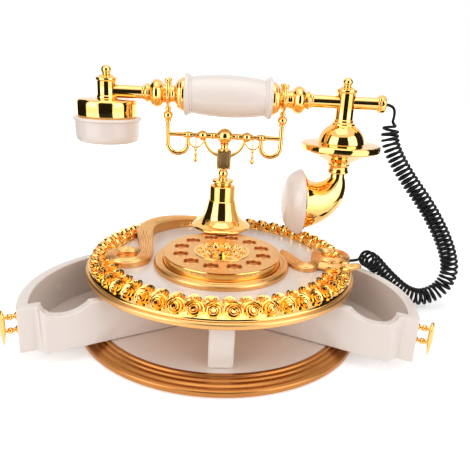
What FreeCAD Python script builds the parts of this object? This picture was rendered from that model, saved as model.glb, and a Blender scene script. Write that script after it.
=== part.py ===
import FreeCAD
import Part
import Sketcher

import math
import os
import re

V = FreeCAD.Vector

# Driving dimensions, in millimetres and degrees
sizes = {
    # base
    "foot_height": 1.2,
    "foot_radius": 6,
    "foot_offset": 2,
    "ring_band": 4.2,
    "ring_step": 2,
    "ring_lip": 3,
    "ring_cove": 5,
    "ring_reach": 7,
    "ring_seat": 12,
    "plate_radius": 106,
    "plate_top": 11,
    "plate_thick": 3,
    # swing-out drawers
    "drawer_radius": 102,
    "drawer_wall": 8,
    "drawer_floor": 2.4,
    "drawer_height": 35,
    "drawer_lift": 0.6,
    "drawer_gap": 1,
    "pivot_x": 66,
    "pivot_y": 18,
    "pivot_radius": 3,
    "pivot_boss": 6,
    "swing_angle": 62,
    "scoop_radius": 26,
    "scoop_depth": 7,
    "scoop_from_front": 33,
    "run_clearance": 0.05,
    "part_clearance": 0.5,
    # drawer pulls
    "pull_height": 29,
    "pull_width": 11,
    "pull_thick": 4,
    "pull_reach": 8,
    "pull_post": 1.7,
    "pull_post_apart": 12,
    "pull_lift": 3,
    "pull_offset": 5,
    # front column and rear housing
    "column_width": 18.6,
    "column_depth": 11,
    "column_front": 101,
    "housing_radius": 101,
    "housing_wall": 2.5,
    "housing_front": 52,
    # round top
    "disc_bottom": 48.5,
    "disc_radius": 114,
    "disc_rim": 5.5,
    "rose_band_margin": 3.5,
    "rose_band_width": 20.5,
    "rose_band_height": 6.5,
    "inner_disc_height": 4,
    # scrolls
    "scroll_width": 12,
    "scroll_height": 4,
    "volute_radius": 19,
    "volute_left_x": 79,
    "volute_left_front": 13,
    "volute_right_x": 97,
    "volute_right_y": 2,
    # dial
    "dial_y": 15,
    "dial_radius": 48.5,
    "dial_height": 11.5,
    "dial_face": 2.5,
    "dial_wall": 2.5,
    "collar_outer": 56,
    "collar_height": 5,
    "collar_gap": 0.3,
    "hole_circle": 35,
    "button_radius": 5.5,
    "button_clearance": 0.35,
    "button_height": 4.6,
    "button_sink": 1.5,
    "button_flange": 6.4,
    "button_flange_thick": 1,
    "button_travel": 1.2,
    "board_thick": 1.6,
    # bell and its pedestal
    "post_y": 52,
    "pedestal_radius": 14,
    "pedestal_height": 12.3,
    "bell_radius": 27.5,
    "bell_lip": 2,
    "bell_throat": 14.8,
    "bell_throat_up": 12.7,
    "bell_barrel": 12,
    "bell_barrel_up": 26,
    "bell_top_up": 41,
    "bell_collar": 10.2,
    "bell_collar_thick": 2.6,
    "bell_waist": 8,
    "bell_waist_height": 2.4,
    "pedestal_wall": 2.4,
    "stem_radius": 4,
    # yoke
    "neck_ball": 4.7,
    "gem_width": 13,
    "gem_height": 14,
    "gem_depth": 9,
    "gem_frame": 1.6,
    "gem_bottom": 128,
    "top_ball": 7.3,
    "bar_z": 155.7,
    "bar_radius": 2,
    "bar_half": 51.3,
    "bead_large": 4.6,
    "bead_small": 3.2,
    "bead_inner_x": 11,
    "bead_large_x": 20,
    "arc_radius": 18.5,
    "arc_wire": 1.5,
    "hook_x": 51.3,
    "hook_bend": 9,
    "hook_drop": 8,
    "hook_wire": 2.2,
    "knob_radius": 4.4,
    "knob_z": 172,
    "fork_half": 10.9,
    "fork_wire": 1.7,
    "fork_tip_z": 202,
    "fork_ball": 2.4,
    "pendant_x": 26,
    "pendant_wire": 1.2,
    "pendant_drop": 24,
    "pendant_ball": 3,
    # handset
    "handset_z": 190.6,
    "grip_half": 38.7,
    "grip_centre_x": 1.5,
    "grip_flange": 18,
    "grip_flange_thick": 5,
    "grip_bead": 1,
    "grip_waist": 15.5,
    "grip_belly": 18.2,
    "cone_radius": 14.6,
    "cone_length": 7.6,
    "cone_taper": 4,
    "waist_radius": 8,
    "waist_length": 10,
    "bulb_radius": 12,
    "bulb_length": 12,
    "bulb_taper": 3,
    "bulb_shoulder": 5,
    "neck_radius": 8,
    "neck_length": 5,
    "arm_radius": 5.6,
    "ear_x": 105,
    "stub_radius": 8.2,
    "stub_below": 7,
    "stub_above": 9,
    "stub_cap": 9.4,
    "stub_cap_thick": 3,
    "finial_radius": 4.4,
    "finial_height": 9.5,
    "ear_cap_radius": 26,
    "ear_cap_side": 13,
    "ear_cap_taper": 2.5,
    "ear_lip_radius": 30,
    "ear_lip_thick": 2.6,
    "ear_cup_radius": 28.4,
    "ear_cup_round": 5,
    "ear_mouth_radius": 24,
    "ear_cup_height": 21.9,
    "ear_bottom": 146.5,
    "ear_recess": 3,
    "capsule_radius": 20,
    "capsule_thick": 8,
    "mouth_x": 107,
    "end_x": 137,
    "end_ring": 8,
    "end_length": 6,
    "dome_radius": 21,
    "dome_height": 16.5,
    "dome_taper": 9.2,
    "shade_radius": 36,
    "shade_thick": 6,
    "shade_top": 154,
    "bowl_height": 13,
    "horn_collar": 9.8,
    "horn_collar_height": 8,
    "horn_neck": 6.8,
    "horn_neck_length": 4,
    "mouth_z": 97.3,
    "horn_flare": 26,
    "mouth_radius": 31,
    "mouth_thick": 18.5,
    "mouth_face_x": 56.5,
    "mouth_recess": 3,
    "mouth_rim": 4,
    "mouth_face": 20.5,
    "mouth_shoulder": 26.5,
    "mouth_crown": 5.5,
    "transmitter_radius": 18,
    "transmitter_thick": 7,
    # cord and its sockets
    "cord_wire": 2.7,
    "curl_radius": 7,
    "curl_turns": 54,
    "curl_ease": 16,
    "socket_radius": 2.5,
    "socket_length": 8,
    "socket_y": 20,
    # inner works
    "switch_length": 16,
    "switch_width": 12,
    "switch_height": 9,
    "ringer_radius": 13,
    "ringer_height": 9,
    "ringer_inset": 2,
    "jack_width": 14,
    "jack_height": 13,
    "jack_depth": 14,
    "jack_inset": 4.5,
}

doc = FreeCAD.newDocument("cradle_phone")
sheet = doc.addObject("Spreadsheet::Sheet", "sizes")
for row, (alias, number) in enumerate(sizes.items(), start=1):
    sheet.set(f"A{row}", alias)
    sheet.set(f"B{row}", str(number))
    sheet.setAlias(f"B{row}", alias)
doc.recompute()

subparts = []


# A length is written as aliases and plain numbers, some divided, joined by + and -
def amount(text):
    total = 0.0
    for term in str(text).replace("-", "+-").split("+"):
        if not term:
            continue
        sign = -1.0 if term.startswith("-") else 1.0
        word = term.lstrip("-").strip()
        word, _, divisor = word.partition("/")
        total += sign * (sizes[word] if word in sizes else float(word)) / float(divisor or 1)
    return total


def bound(text):
    return re.sub(r"\b[a-z]\w*\b(?!\()", r"sizes.\g<0>", str(text))


def place(item, x="0", y="0", z="0", turn=None):
    base = V(amount(x), amount(y), amount(z))
    item.Placement = FreeCAD.Placement(base, turn or FreeCAD.Rotation())
    for axis, text in zip("xyz", (x, y, z)):
        item.setExpression(f".Placement.Base.{axis}", bound(text))
    return item


def primitive(kind, name, **bindings):
    item = doc.addObject("Part::" + kind, name)
    for prop, text in bindings.items():
        item.setExpression(prop, bound(text))
    return item


def cylinder(name, radius, height):
    return primitive("Cylinder", name, Radius=radius, Height=height)


def ball(name, radius):
    return primitive("Sphere", name, Radius=radius)


def box(name, length, width, height):
    return primitive("Box", name, Length=length, Width=width, Height=height)


def fuse(name, items):
    joined = doc.addObject("Part::MultiFuse", name)
    joined.Shapes = items
    return joined


def common(name, items):
    shared = doc.addObject("Part::MultiCommon", name)
    shared.Shapes = items
    return shared


def cut(name, base, tool):
    result = doc.addObject("Part::Cut", name)
    result.Base = base
    result.Tool = tool
    return result


def mirrored(text):
    return "-" + text.translate(str.maketrans("+-", "-+"))


def keep(item, label):
    item.Label = label
    subparts.append(item)
    return item


# A turned piece: a profile of (radius, height) pairs spun about its own Z axis
def turned(label, profile):
    body = doc.addObject("PartDesign::Body", label)
    sketch = body.newObject("Sketcher::SketchObject", label + "_profile")
    plane = [f for f in body.Origin.OriginFeatures if f.Role == "XZ_Plane"][0]
    sketch.AttachmentSupport = [(plane, "")]
    sketch.MapMode = "FlatFace"
    points = [V(amount(r), amount(z), 0) for r, z in profile]
    count = len(points)
    for i in range(count):
        sketch.addGeometry(Part.LineSegment(points[i], points[(i + 1) % count]))
    for i in range(count):
        sketch.addConstraint(Sketcher.Constraint("Coincident", i, 2, (i + 1) % count, 1))
    for i, (r, z) in enumerate(profile):
        for axis, text, line in (("X", r, -2), ("Y", z, -1)):
            if amount(text) == 0:
                sketch.addConstraint(Sketcher.Constraint("PointOnObject", i, 1, line))
                continue
            start = points[i].x if axis == "X" else points[i].y
            rule = Sketcher.Constraint("Distance" + axis, -1, 1, i, 1, start)
            number = sketch.addConstraint(rule)
            sketch.setExpression(f"Constraints[{number}]", bound(text))
    spin = body.newObject("PartDesign::Revolution", label + "_spin")
    spin.Profile = sketch
    spin.ReferenceAxis = (sketch, ["V_Axis"])
    spin.Angle = 360
    body.Tip = spin
    return body


alongX = FreeCAD.Rotation(V(0, 1, 0), 90)
againstX = FreeCAD.Rotation(V(0, 1, 0), -90)
alongY = FreeCAD.Rotation(V(1, 0, 0), -90)


# Base: gold ring on four feet, white floor plate, front column, rear housing
disc_top = "disc_bottom+disc_rim"
deck_top = disc_top + "+inner_disc_height"

ring_inner = "plate_radius-ring_seat"
ring_shoulder = "plate_radius+ring_lip"
ring_hollow = ring_shoulder + "+ring_cove"
ring_outer = ring_hollow + "+ring_reach"
ring = turned("base_ring", [
    (ring_inner, "0"),
    (ring_outer, "0"),
    (ring_outer, "ring_band"),
    (ring_hollow, "ring_band+ring_step"),
    (ring_shoulder, "ring_band+ring_step"),
    (ring_shoulder, "plate_top-foot_height"),
    ("plate_radius", "plate_top-foot_height"),
    ("plate_radius", "plate_top-foot_height-plate_thick"),
    (ring_inner, "plate_top-foot_height-plate_thick"),
])
keep(place(ring, z="foot_height"), "base_ring")

for number in range(4):
    angle = math.radians(45 + 90 * number)
    pad = cylinder(f"foot_{number}", "foot_radius", "foot_height")
    pad.Placement.Base = V(0, 0, 0)
    pad.setExpression(".Placement.Base.x", bound(f"(plate_radius+foot_offset)*{math.cos(angle):.6f}"))
    pad.setExpression(".Placement.Base.y", bound(f"(plate_radius+foot_offset)*{math.sin(angle):.6f}"))
    keep(pad, f"foot_pad_{number + 1}")

plate = cylinder("plate", "plate_radius", "plate_thick")
keep(place(plate, z="plate_top-plate_thick"), "floor_plate")

column = box("column", "column_width", "column_depth", "disc_bottom-plate_top")
place(column, y="-column_front", z="plate_top")
column.setExpression(".Placement.Base.x", "-sizes.column_width / 2")
keep(column, "front_column")

swing_radius = "pivot_x-drawer_gap/2"
rebate_radius = (
    "sqrt((pivot_x-column_width/2)^2+(column_front-column_depth+pivot_y)^2)-part_clearance"
)


def housingPrism(name, inset, bottom, height):
    outer = cylinder(name + "_outer", f"housing_radius-{inset}", height)
    place(outer, z=bottom)
    front = box(name + "_front", "2*housing_radius", "housing_radius", height)
    place(front, z=bottom)
    front.setExpression(".Placement.Base.x", "-sizes.housing_radius")
    front.setExpression(".Placement.Base.y", bound(f"housing_front+{inset}"))
    prism = common(name + "_prism", [outer, front])
    for side, sign in (("l", "-"), ("r", "")):
        swing = cylinder(f"{name}_{side}", f"{swing_radius}+part_clearance+{inset}", height)
        place(swing, x=sign + "pivot_x", y="pivot_y", z=bottom)
        prism = cut(f"{name}_less_{side}", prism, swing)
    return prism


gap_height = "disc_bottom-plate_top"
jack = box("jack", "jack_width", "jack_depth", "jack_height")
place(jack, x="ringer_radius+housing_wall", z="plate_top")
jack.setExpression(".Placement.Base.y", bound("housing_radius-jack_depth-jack_inset"))
keep(jack, "line_jack")
shell = cut(
    "housing_shell",
    housingPrism("housing", "0", "plate_top", gap_height),
    housingPrism("hollow", "housing_wall", "plate_top", gap_height),
)
keep(cut("housing", shell, jack), "rear_housing")

ringer = cylinder("ringer", "ringer_radius", "ringer_height")
place(ringer, z="plate_top")
ringer.setExpression(".Placement.Base.y", bound("housing_radius-housing_wall-ringer_radius-ringer_inset"))
keep(ringer, "ringer")


# Swing-out drawers: half discs whose rear end is round about the pivot
def drawerPrism(name, sign, inset, bottom, height):
    outer = cylinder(name + "_outer", f"drawer_radius-{inset}", height)
    place(outer, z=bottom)
    straight = box(name + "_straight", "drawer_radius", "drawer_radius+pivot_y", height)
    place(straight, y="-drawer_radius", z=bottom)
    start = f"drawer_gap/2+{inset}" if sign > 0 else f"-drawer_gap/2-{inset}-drawer_radius"
    straight.setExpression(".Placement.Base.x", bound(start))
    heel = cylinder(name + "_heel", f"{swing_radius}-{inset}", height)
    place(heel, x=("" if sign > 0 else "-") + "pivot_x", y="pivot_y", z=bottom)
    return common(name + "_prism", [outer, fuse(name + "_plan", [straight, heel])])


def columnRebate(name, sign, inset, bottom, height):
    width = f"column_width/2+part_clearance+{inset}"
    block = box(name + "_block", width, "drawer_radius", height)
    place(block, y="-drawer_radius-part_clearance", z=bottom)
    block.setExpression(".Placement.Base.x", "0" if sign > 0 else bound(f"-({width})"))
    arc = cylinder(name + "_arc", f"{rebate_radius}-{inset}", height)
    place(arc, x=("" if sign > 0 else "-") + "pivot_x", y="pivot_y", z=bottom)
    return cut(name + "_tool", block, arc)


def swingOpen(item, sign):
    pivot = f"create(<<vector>>; {sign} * sizes.pivot_x; sizes.pivot_y; 0)"
    turn = f"create(<<rotation>>; create(<<vector>>; 0; 0; 1); {sign} * sizes.swing_angle)"
    item.setExpression("Placement", f"create(<<placement>>; create(<<vector>>; 0; 0; 0); {turn}; {pivot})")
    return item


for side, sign in (("left", -1), ("right", 1)):
    mark = "" if sign > 0 else "-"
    bottom = "plate_top+drawer_lift"
    floor = bottom + "+drawer_floor"
    outside = cut(
        side + "_outside",
        drawerPrism(side + "_full", sign, "0", bottom, "drawer_height"),
        columnRebate(side + "_rebate", sign, "0", bottom, "drawer_height"),
    )
    inside = cut(
        side + "_inside",
        drawerPrism(side + "_cavity", sign, "drawer_wall", floor, "drawer_height"),
        columnRebate(side + "_lining", sign, "drawer_wall", floor, "drawer_height"),
    )
    boss = place(
        cylinder(side + "_boss", "pivot_boss", "drawer_height"), mark + "pivot_x", "pivot_y", bottom
    )
    bore = place(
        cylinder(side + "_bore", "pivot_radius+run_clearance", "drawer_height"),
        mark + "pivot_x", "pivot_y", bottom,
    )
    scoop = cylinder(side + "_scoop", "scoop_radius", "drawer_wall*2")
    scoop_x = "0" if sign > 0 else "-drawer_wall-drawer_wall"
    place(
        scoop, scoop_x, "-drawer_radius+scoop_from_front",
        bottom + "+drawer_height+scoop_radius-scoop_depth", alongX,
    )
    tray = fuse(side + "_tray", [cut(side + "_walls", outside, inside), boss])
    drawer = cut(side + "_bored", tray, fuse(side + "_cuts", [bore, scoop]))
    keep(swingOpen(drawer, sign), side + "_drawer")

    pin = place(
        cylinder(side + "_pivot", "pivot_radius", gap_height), mark + "pivot_x", "pivot_y", "plate_top"
    )
    keep(pin, side + "_pivot_pin")

    # The pull is a leaf on two posts, seated on the round wall beside the column
    leaf_x = f"{sign}*(column_width/2+pull_offset+pull_width/2)"
    leaf = primitive(
        "Ellipsoid", side + "_leaf",
        Radius1="pull_thick/2", Radius2="pull_height/2", Radius3="pull_width/2",
    )
    leaf.Placement.Rotation = alongX * FreeCAD.Rotation(V(1, 0, 0), 90)
    leaf_z = bottom + "+pull_lift+pull_height/2"
    leaf.setExpression(".Placement.Base.x", bound(leaf_x))
    leaf.setExpression(".Placement.Base.y", bound("-drawer_radius-pull_reach-pull_thick/2"))
    leaf.setExpression(".Placement.Base.z", bound(leaf_z))
    posts = []
    for end in (-1, 1):
        post = cylinder(f"{side}_post_{end + 1}", "pull_post", "pull_reach*2+pull_thick")
        post.Placement = FreeCAD.Placement(V(0, 0, 0), alongY)
        post.setExpression(".Placement.Base.x", bound(leaf_x))
        post.setExpression(".Placement.Base.y", bound("-drawer_radius-pull_reach-pull_thick/2"))
        post.setExpression(".Placement.Base.z", bound(f"{leaf_z}+{end}*pull_post_apart/2"))
        posts.append(post)
    round_wall = place(cylinder(side + "_round", "drawer_radius", "drawer_height"), z=bottom)
    pull = cut(side + "_pull_seat", fuse(side + "_pull_all", [leaf] + posts), round_wall)
    keep(swingOpen(pull, sign), side + "_pull")


# Round top: gold disc, rose band, white inner disc, scrolls
disc = keep(place(cylinder("disc", "disc_radius", "disc_rim"), z="disc_bottom"), "top_disc")
rose_band_outer = "disc_radius-rose_band_margin"
rose_band_inner = rose_band_outer + "-rose_band_width"
roses = turned("rose_band", [
    (rose_band_inner, "0"),
    (rose_band_outer, "0"),
    (rose_band_outer, "rose_band_height"),
    (rose_band_inner, "rose_band_height"),
])
keep(place(roses, z=disc_top), "rose_band")
keep(place(cylinder("deck", rose_band_inner, "inner_disc_height"), z=disc_top), "inner_disc")

scroll_z = disc_top + "+rose_band_height"


# A flat band through points, round at each of them
def band(name, points):
    pieces = []
    for number, (x, y) in enumerate(points):
        pieces.append(place(cylinder(f"{name}_{number}", "scroll_width/2", "scroll_height"), x, y, scroll_z))
    for number, (first, last) in enumerate(zip(points, points[1:])):
        dx = amount(last[0]) - amount(first[0])
        dy = amount(last[1]) - amount(first[1])
        run = box(f"{name}_run_{number}", f"{math.hypot(dx, dy):.4f}", "scroll_width", "scroll_height")
        heading = math.atan2(dy, dx)
        run.Placement.Rotation = FreeCAD.Rotation(V(0, 0, 1), math.degrees(heading))
        run.setExpression(".Placement.Base.x", bound(f"{first[0]}+{math.sin(heading):.6f}*scroll_width/2"))
        run.setExpression(".Placement.Base.y", bound(f"{first[1]}-{math.cos(heading):.6f}*scroll_width/2"))
        run.setExpression(".Placement.Base.z", bound(scroll_z))
        pieces.append(run)
    return pieces


# The left band leaves its volute, runs back over the deck and bends round on the rose band
left_path = [
    ("-volute_left_x+scroll_width", "-volute_left_front"),
    ("-volute_left_x+scroll_width", "volute_radius+volute_radius-volute_left_front"),
    ("-disc_radius/1.61", "disc_radius/1.757"),
    ("-disc_radius/2.18", "disc_radius/1.416"),
    ("-disc_radius/3.476", "disc_radius/1.264"),
]
right_path = [
    ("collar_outer+scroll_width/2+part_clearance", "0"),
    ("volute_right_x-volute_radius-scroll_width/1.5", "volute_right_y-volute_radius-scroll_height"),
    ("volute_right_x-volute_radius", "volute_right_y-scroll_width"),
]
tongue_path = [
    ("volute_right_x-scroll_width/1.5", "volute_right_y-volute_radius-scroll_height/2"),
    ("volute_right_x+scroll_width+scroll_width/4", "volute_right_y-volute_radius"),
]
scrolls = {
    "left": (("-volute_left_x", "-volute_left_front"), [left_path]),
    "right": (("volute_right_x", "volute_right_y"), [right_path, tongue_path]),
}
for side, (centre, paths) in scrolls.items():
    pieces = [place(cylinder(side + "_volute", "volute_radius", "scroll_height"), *centre, scroll_z)]
    for number, path in enumerate(paths):
        pieces += band(f"{side}_band_{number}", path)
    scroll = fuse(side + "_scroll_all", pieces)
    keep(scroll, side + "_scroll")


# Dial: a hollow drum with twelve push buttons, inside a loose collar
dial = turned("dial_drum", [
    ("0", "dial_height-dial_face"),
    ("dial_radius-dial_wall", "dial_height-dial_face"),
    ("dial_radius-dial_wall", "0"),
    ("dial_radius", "0"),
    ("dial_radius", "dial_height"),
    ("0", "dial_height"),
])
place(dial, y="-dial_y", z=deck_top)
holes = []
button_base = deck_top + "+board_thick+button_travel+collar_gap"
face_top = deck_top + "+dial_height"
for number in range(12):
    angle = math.radians(90 - 30 * number - 15)
    east = f"hole_circle*{math.cos(angle):.6f}"
    north = f"hole_circle*{math.sin(angle):.6f}-dial_y"
    hole = cylinder(f"hole_{number}", "button_radius+button_clearance", "dial_height")
    button = turned(f"button_{number + 1}", [
        ("0", "0"),
        ("button_radius", "0"),
        ("button_radius", "button_height"),
        ("button_flange", "button_height"),
        ("button_flange", "button_height+button_flange_thick"),
        ("button_radius", "button_height+button_flange_thick"),
        ("button_radius", "button_height+button_flange_thick+dial_face-button_sink+collar_gap"),
        ("0", "button_height+button_flange_thick+dial_face-button_sink+collar_gap"),
    ])
    for item in (hole, button):
        item.setExpression(".Placement.Base.x", bound(east))
        item.setExpression(".Placement.Base.y", bound(north))
    hole.setExpression(".Placement.Base.z", bound(deck_top))
    underside = face_top + "-dial_face-collar_gap-button_flange_thick-button_height"
    button.setExpression(".Placement.Base.z", bound(underside))
    holes.append(hole)
    keep(button, f"button_{number + 1}")
keep(cut("dial", dial, fuse("dial_holes", holes)), "dial_plate")
board = cylinder("board", "dial_radius-dial_wall-part_clearance", "board_thick")
keep(place(board, y="-dial_y", z=deck_top), "keypad_board")

collar = turned("collar_ring", [
    ("dial_radius+collar_gap", "0"),
    ("collar_outer", "0"),
    ("collar_outer", "collar_height"),
    ("dial_radius+collar_gap", "collar_height"),
])
place(collar, y="-dial_y", z=deck_top)
pedestal_notch = place(
    cylinder("pedestal_notch", "pedestal_radius+part_clearance", "collar_height"), y="post_y", z=deck_top
)
keep(cut("collar", collar, pedestal_notch), "dial_collar")


# Bell on a pedestal that hides the hook switch
bell_z = deck_top + "+pedestal_height"
pedestal = turned("pedestal", [
    ("pedestal_radius-pedestal_wall", "0"),
    ("pedestal_radius", "0"),
    ("pedestal_radius", "pedestal_height"),
    ("pedestal_radius-pedestal_wall", "pedestal_height"),
])
keep(place(pedestal, y="post_y", z=deck_top), "bell_pedestal")
stem_bore = "stem_radius+run_clearance"
collar_up = "bell_top_up+bell_waist_height"
bell = turned("bell", [
    (stem_bore, "0"),
    ("bell_radius", "0"),
    ("bell_radius", "bell_lip"),
    ("bell_throat", "bell_throat_up"),
    ("bell_barrel", "bell_barrel_up"),
    ("bell_barrel", "bell_top_up"),
    ("bell_waist", "bell_top_up"),
    ("bell_waist", collar_up),
    ("bell_collar", collar_up),
    ("bell_collar", collar_up + "+bell_collar_thick"),
    (stem_bore, collar_up + "+bell_collar_thick"),
])
keep(place(bell, y="post_y", z=bell_z), "bell")
switch = box("switch", "switch_length", "switch_width", "switch_height")
place(switch, z=deck_top)
switch.setExpression(".Placement.Base.x", "-sizes.switch_length / 2")
switch.setExpression(".Placement.Base.y", bound("post_y-switch_width/2"))
keep(switch, "hook_switch")


# Yoke: sliding stem, framed gem, bar with beads, hooks, arc and drops
def atPost(item, x="0", z="0", y="post_y", turn=None):
    return place(item, x, y, z, turn)


stem_foot = deck_top + "+switch_height+collar_gap"
ball_z = bell_z + "+" + collar_up + "+bell_collar_thick+collar_gap+neck_ball"
stem = cylinder("stem", "stem_radius", f"gem_bottom-({stem_foot})")
atPost(stem, z=stem_foot)
neck = atPost(ball("neck_bead", "neck_ball"), z=ball_z)
frame = box("gem_case", "gem_width", "gem_depth", "gem_height+2*gem_frame")
frame.setExpression(".Placement.Base.x", "-sizes.gem_width / 2")
frame.setExpression(".Placement.Base.y", bound("post_y-gem_depth/2"))
frame.setExpression(".Placement.Base.z", bound("gem_bottom-gem_frame"))
window = box("gem_window", "gem_width-2*gem_frame", "gem_depth", "gem_height")
window.setExpression(".Placement.Base.x", bound("gem_frame-gem_width/2"))
window.setExpression(".Placement.Base.y", bound("post_y-gem_depth/2"))
window.setExpression(".Placement.Base.z", bound("gem_bottom"))
riser = cylinder("riser", "bar_radius+gem_frame", "bar_z-gem_bottom-gem_height")
atPost(riser, z="gem_bottom+gem_height")
crown = atPost(ball("crown", "top_ball"), z="bar_z")
bar = cylinder("bar", "bar_radius", "2*bar_half")
atPost(bar, x="-bar_half", z="bar_z", turn=alongX)
beads = []
bead_spots = (
    ("bead_small", "bead_inner_x"),
    ("bead_large", "bead_large_x"),
    ("bead_small", "hook_x-hook_bend-hook_bend"),
)
for side in ("left", "right"):
    for number, (radius, x) in enumerate(bead_spots):
        spot = mirrored(x) if side == "left" else x
        beads.append(atPost(ball(f"{side}_bead_{number}", radius), spot, "bar_z"))
case = cut("gem_opening", fuse("stem_and_case", [stem, neck, frame, riser, crown, bar] + beads), window)
keep(case, "yoke_frame")
gem = box("gem_block", "gem_width-2*gem_frame", "gem_depth", "gem_height")
gem.setExpression(".Placement.Base.x", bound("gem_frame-gem_width/2"))
gem.setExpression(".Placement.Base.y", bound("post_y-gem_depth/2"))
gem.setExpression(".Placement.Base.z", bound("gem_bottom"))
keep(gem, "gem")


# Half a ring hanging below its centre, in the plane across the post
def hangingArc(name, radius, wire):
    arc = primitive("Torus", name, Radius1=radius, Radius2=wire)
    arc.Angle3 = 180
    return arc


acrossFront = FreeCAD.Rotation(V(1, 0, 0), -90)
acrossSide = FreeCAD.Rotation(V(0, 0, 1), 90) * FreeCAD.Rotation(V(1, 0, 0), -90)
for side, angle in (("left", 90), ("right", 0)):
    arc = hangingArc(side + "_front_arc", "arc_radius", "arc_wire")
    arc.Angle3 = 90
    atPost(arc, z="bar_z", turn=acrossFront * FreeCAD.Rotation(V(0, 0, 1), angle))
    keep(cut(side + "_arc_seated", arc, fuse(side + "_arc_room", [case, gem])), side + "_arc")

crotch_z = "handset_z-waist_radius-collar_gap-fork_wire"
fork_centre = crotch_z + "+fork_half"
bend_z = "bar_z-hook_drop"
for side, mark, back in (("left", "-", "+"), ("right", "", "-")):
    outer_x = mark + "hook_x"
    middle_x = f"{outer_x}{back}hook_bend"
    inner_x = f"{middle_x}{back}hook_bend"
    pieces = [
        atPost(cylinder(side + "_hook_inner", "hook_wire", "hook_drop"), inner_x, bend_z),
        atPost(hangingArc(side + "_hook_bend", "hook_bend", "hook_wire"), middle_x, bend_z, turn=acrossFront),
        atPost(cylinder(side + "_hook_rod", "hook_wire", f"knob_z-({bend_z})"), outer_x, bend_z),
        atPost(ball(side + "_knob", "knob_radius"), outer_x, "knob_z"),
        atPost(cylinder(side + "_fork_neck", "fork_wire", f"{crotch_z}-knob_z"), outer_x, "knob_z"),
        atPost(hangingArc(side + "_fork", "fork_half", "fork_wire"), outer_x, fork_centre, turn=acrossSide),
    ]
    for end, way in (("front", "-"), ("rear", "+")):
        tine_y = f"post_y{way}fork_half"
        tine = cylinder(f"{side}_{end}_tine", "fork_wire", f"fork_tip_z-({fork_centre})")
        pieces.append(place(tine, outer_x, tine_y, fork_centre))
        pieces.append(place(ball(f"{side}_{end}_tip", "fork_ball"), outer_x, tine_y, "fork_tip_z"))
    hook = fuse(side + "_hook_all", pieces)
    keep(cut(side + "_hook_seated", hook, case), side + "_hook")

    drop_x = mark + "pendant_x"
    drop = cylinder(side + "_drop", "pendant_wire", "pendant_drop")
    atPost(drop, drop_x, "bar_z-pendant_drop")
    tear = atPost(ball(side + "_tear", "pendant_ball"), drop_x, "bar_z-pendant_drop")
    keep(cut(side + "_drop_seated", fuse(side + "_drop_all", [drop, tear]), case), side + "_pendant")


# Handset: white grip, turned gold arms, earpiece on the left, horn on the right
def alongHandset(item, x, turn):
    return place(item, x, "post_y", "handset_z", turn)


grip = turned("grip_barrel", [
    ("0", "0"),
    ("grip_flange", "0"),
    ("grip_flange", "grip_flange_thick"),
    ("grip_waist", "grip_flange_thick+grip_bead"),
    ("grip_belly", "grip_half"),
    ("grip_waist", "grip_half+grip_half-grip_flange_thick-grip_bead"),
    ("grip_flange", "grip_half+grip_half-grip_flange_thick"),
    ("grip_flange", "grip_half+grip_half"),
    ("0", "grip_half+grip_half"),
])
keep(alongHandset(grip, "grip_centre_x-grip_half", alongX), "grip")

waist_from = "cone_length"
waist_to = waist_from + "+waist_length"
bulb_to = waist_to + "+bulb_length"
neck_to = bulb_to + "+neck_length"


# Cone, waist for the fork, bulb and collar, then the arm out to its length
def arm(label, reach):
    return turned(label, [
        ("0", "0"),
        ("cone_radius", "0"),
        ("cone_radius-cone_taper", waist_from),
        ("waist_radius", waist_from),
        ("waist_radius", waist_to),
        ("bulb_radius-bulb_taper", waist_to),
        ("bulb_radius", waist_to + "+bulb_length-bulb_shoulder"),
        ("neck_radius", bulb_to),
        ("neck_radius", neck_to),
        ("arm_radius", neck_to),
        ("arm_radius", reach),
        ("0", reach),
    ])


stub_bottom = "handset_z-stub_below"
stub_top = "handset_z+stub_above"
left_arm = arm("left_arm_bar", "ear_x+grip_centre_x-grip_half")
alongHandset(left_arm, "grip_centre_x-grip_half", againstX)
left_stub = place(
    cylinder("left_stub_room", "stub_radius", "stub_below+stub_above"), "-ear_x", "post_y", stub_bottom
)
keep(cut("left_arm_seated", left_arm, left_stub), "left_arm")

right_arm = arm("right_arm_bar", "mouth_x-grip_centre_x-grip_half")
alongHandset(right_arm, "grip_centre_x+grip_half", alongX)
right_stub = place(
    cylinder("right_stub_room", "stub_radius", "stub_below+stub_above"), "mouth_x", "post_y", stub_bottom
)
keep(cut("right_arm_seated", right_arm, right_stub), "right_arm")

tail = turned("tail_bar", [
    ("0", "0"),
    ("arm_radius", "0"),
    ("arm_radius", "end_x-mouth_x"),
    ("end_ring", "end_x-mouth_x"),
    ("end_ring", "end_x-mouth_x+end_length"),
    ("0", "end_x-mouth_x+end_length"),
])
alongHandset(tail, "mouth_x", alongX)
keep(cut("tail_seated", tail, right_stub), "right_end")

ear_top = "ear_bottom+ear_cup_height"


def finialProfile(top):
    return [
        ("stub_radius", top),
        ("stub_cap", top),
        ("stub_cap", top + "+stub_cap_thick"),
        ("finial_radius", top + "+stub_cap_thick"),
        ("finial_radius", top + "+stub_cap_thick+finial_height-finial_radius"),
        ("0", top + "+stub_cap_thick+finial_height"),
    ]


ear_rise = stub_bottom + "-ear_bottom-ear_cup_height"
ear_stub_top = ear_rise + "+stub_below+stub_above"
ear_cap = turned("ear_cap_body", [
    ("0", "0"),
    ("ear_cap_radius", "0"),
    ("ear_cap_radius", "ear_cap_side"),
    ("ear_cap_radius-ear_cap_taper", ear_rise),
    ("stub_radius", ear_rise),
] + finialProfile(ear_stub_top))
keep(place(ear_cap, "-ear_x", "post_y", ear_top), "ear_cap")

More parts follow.
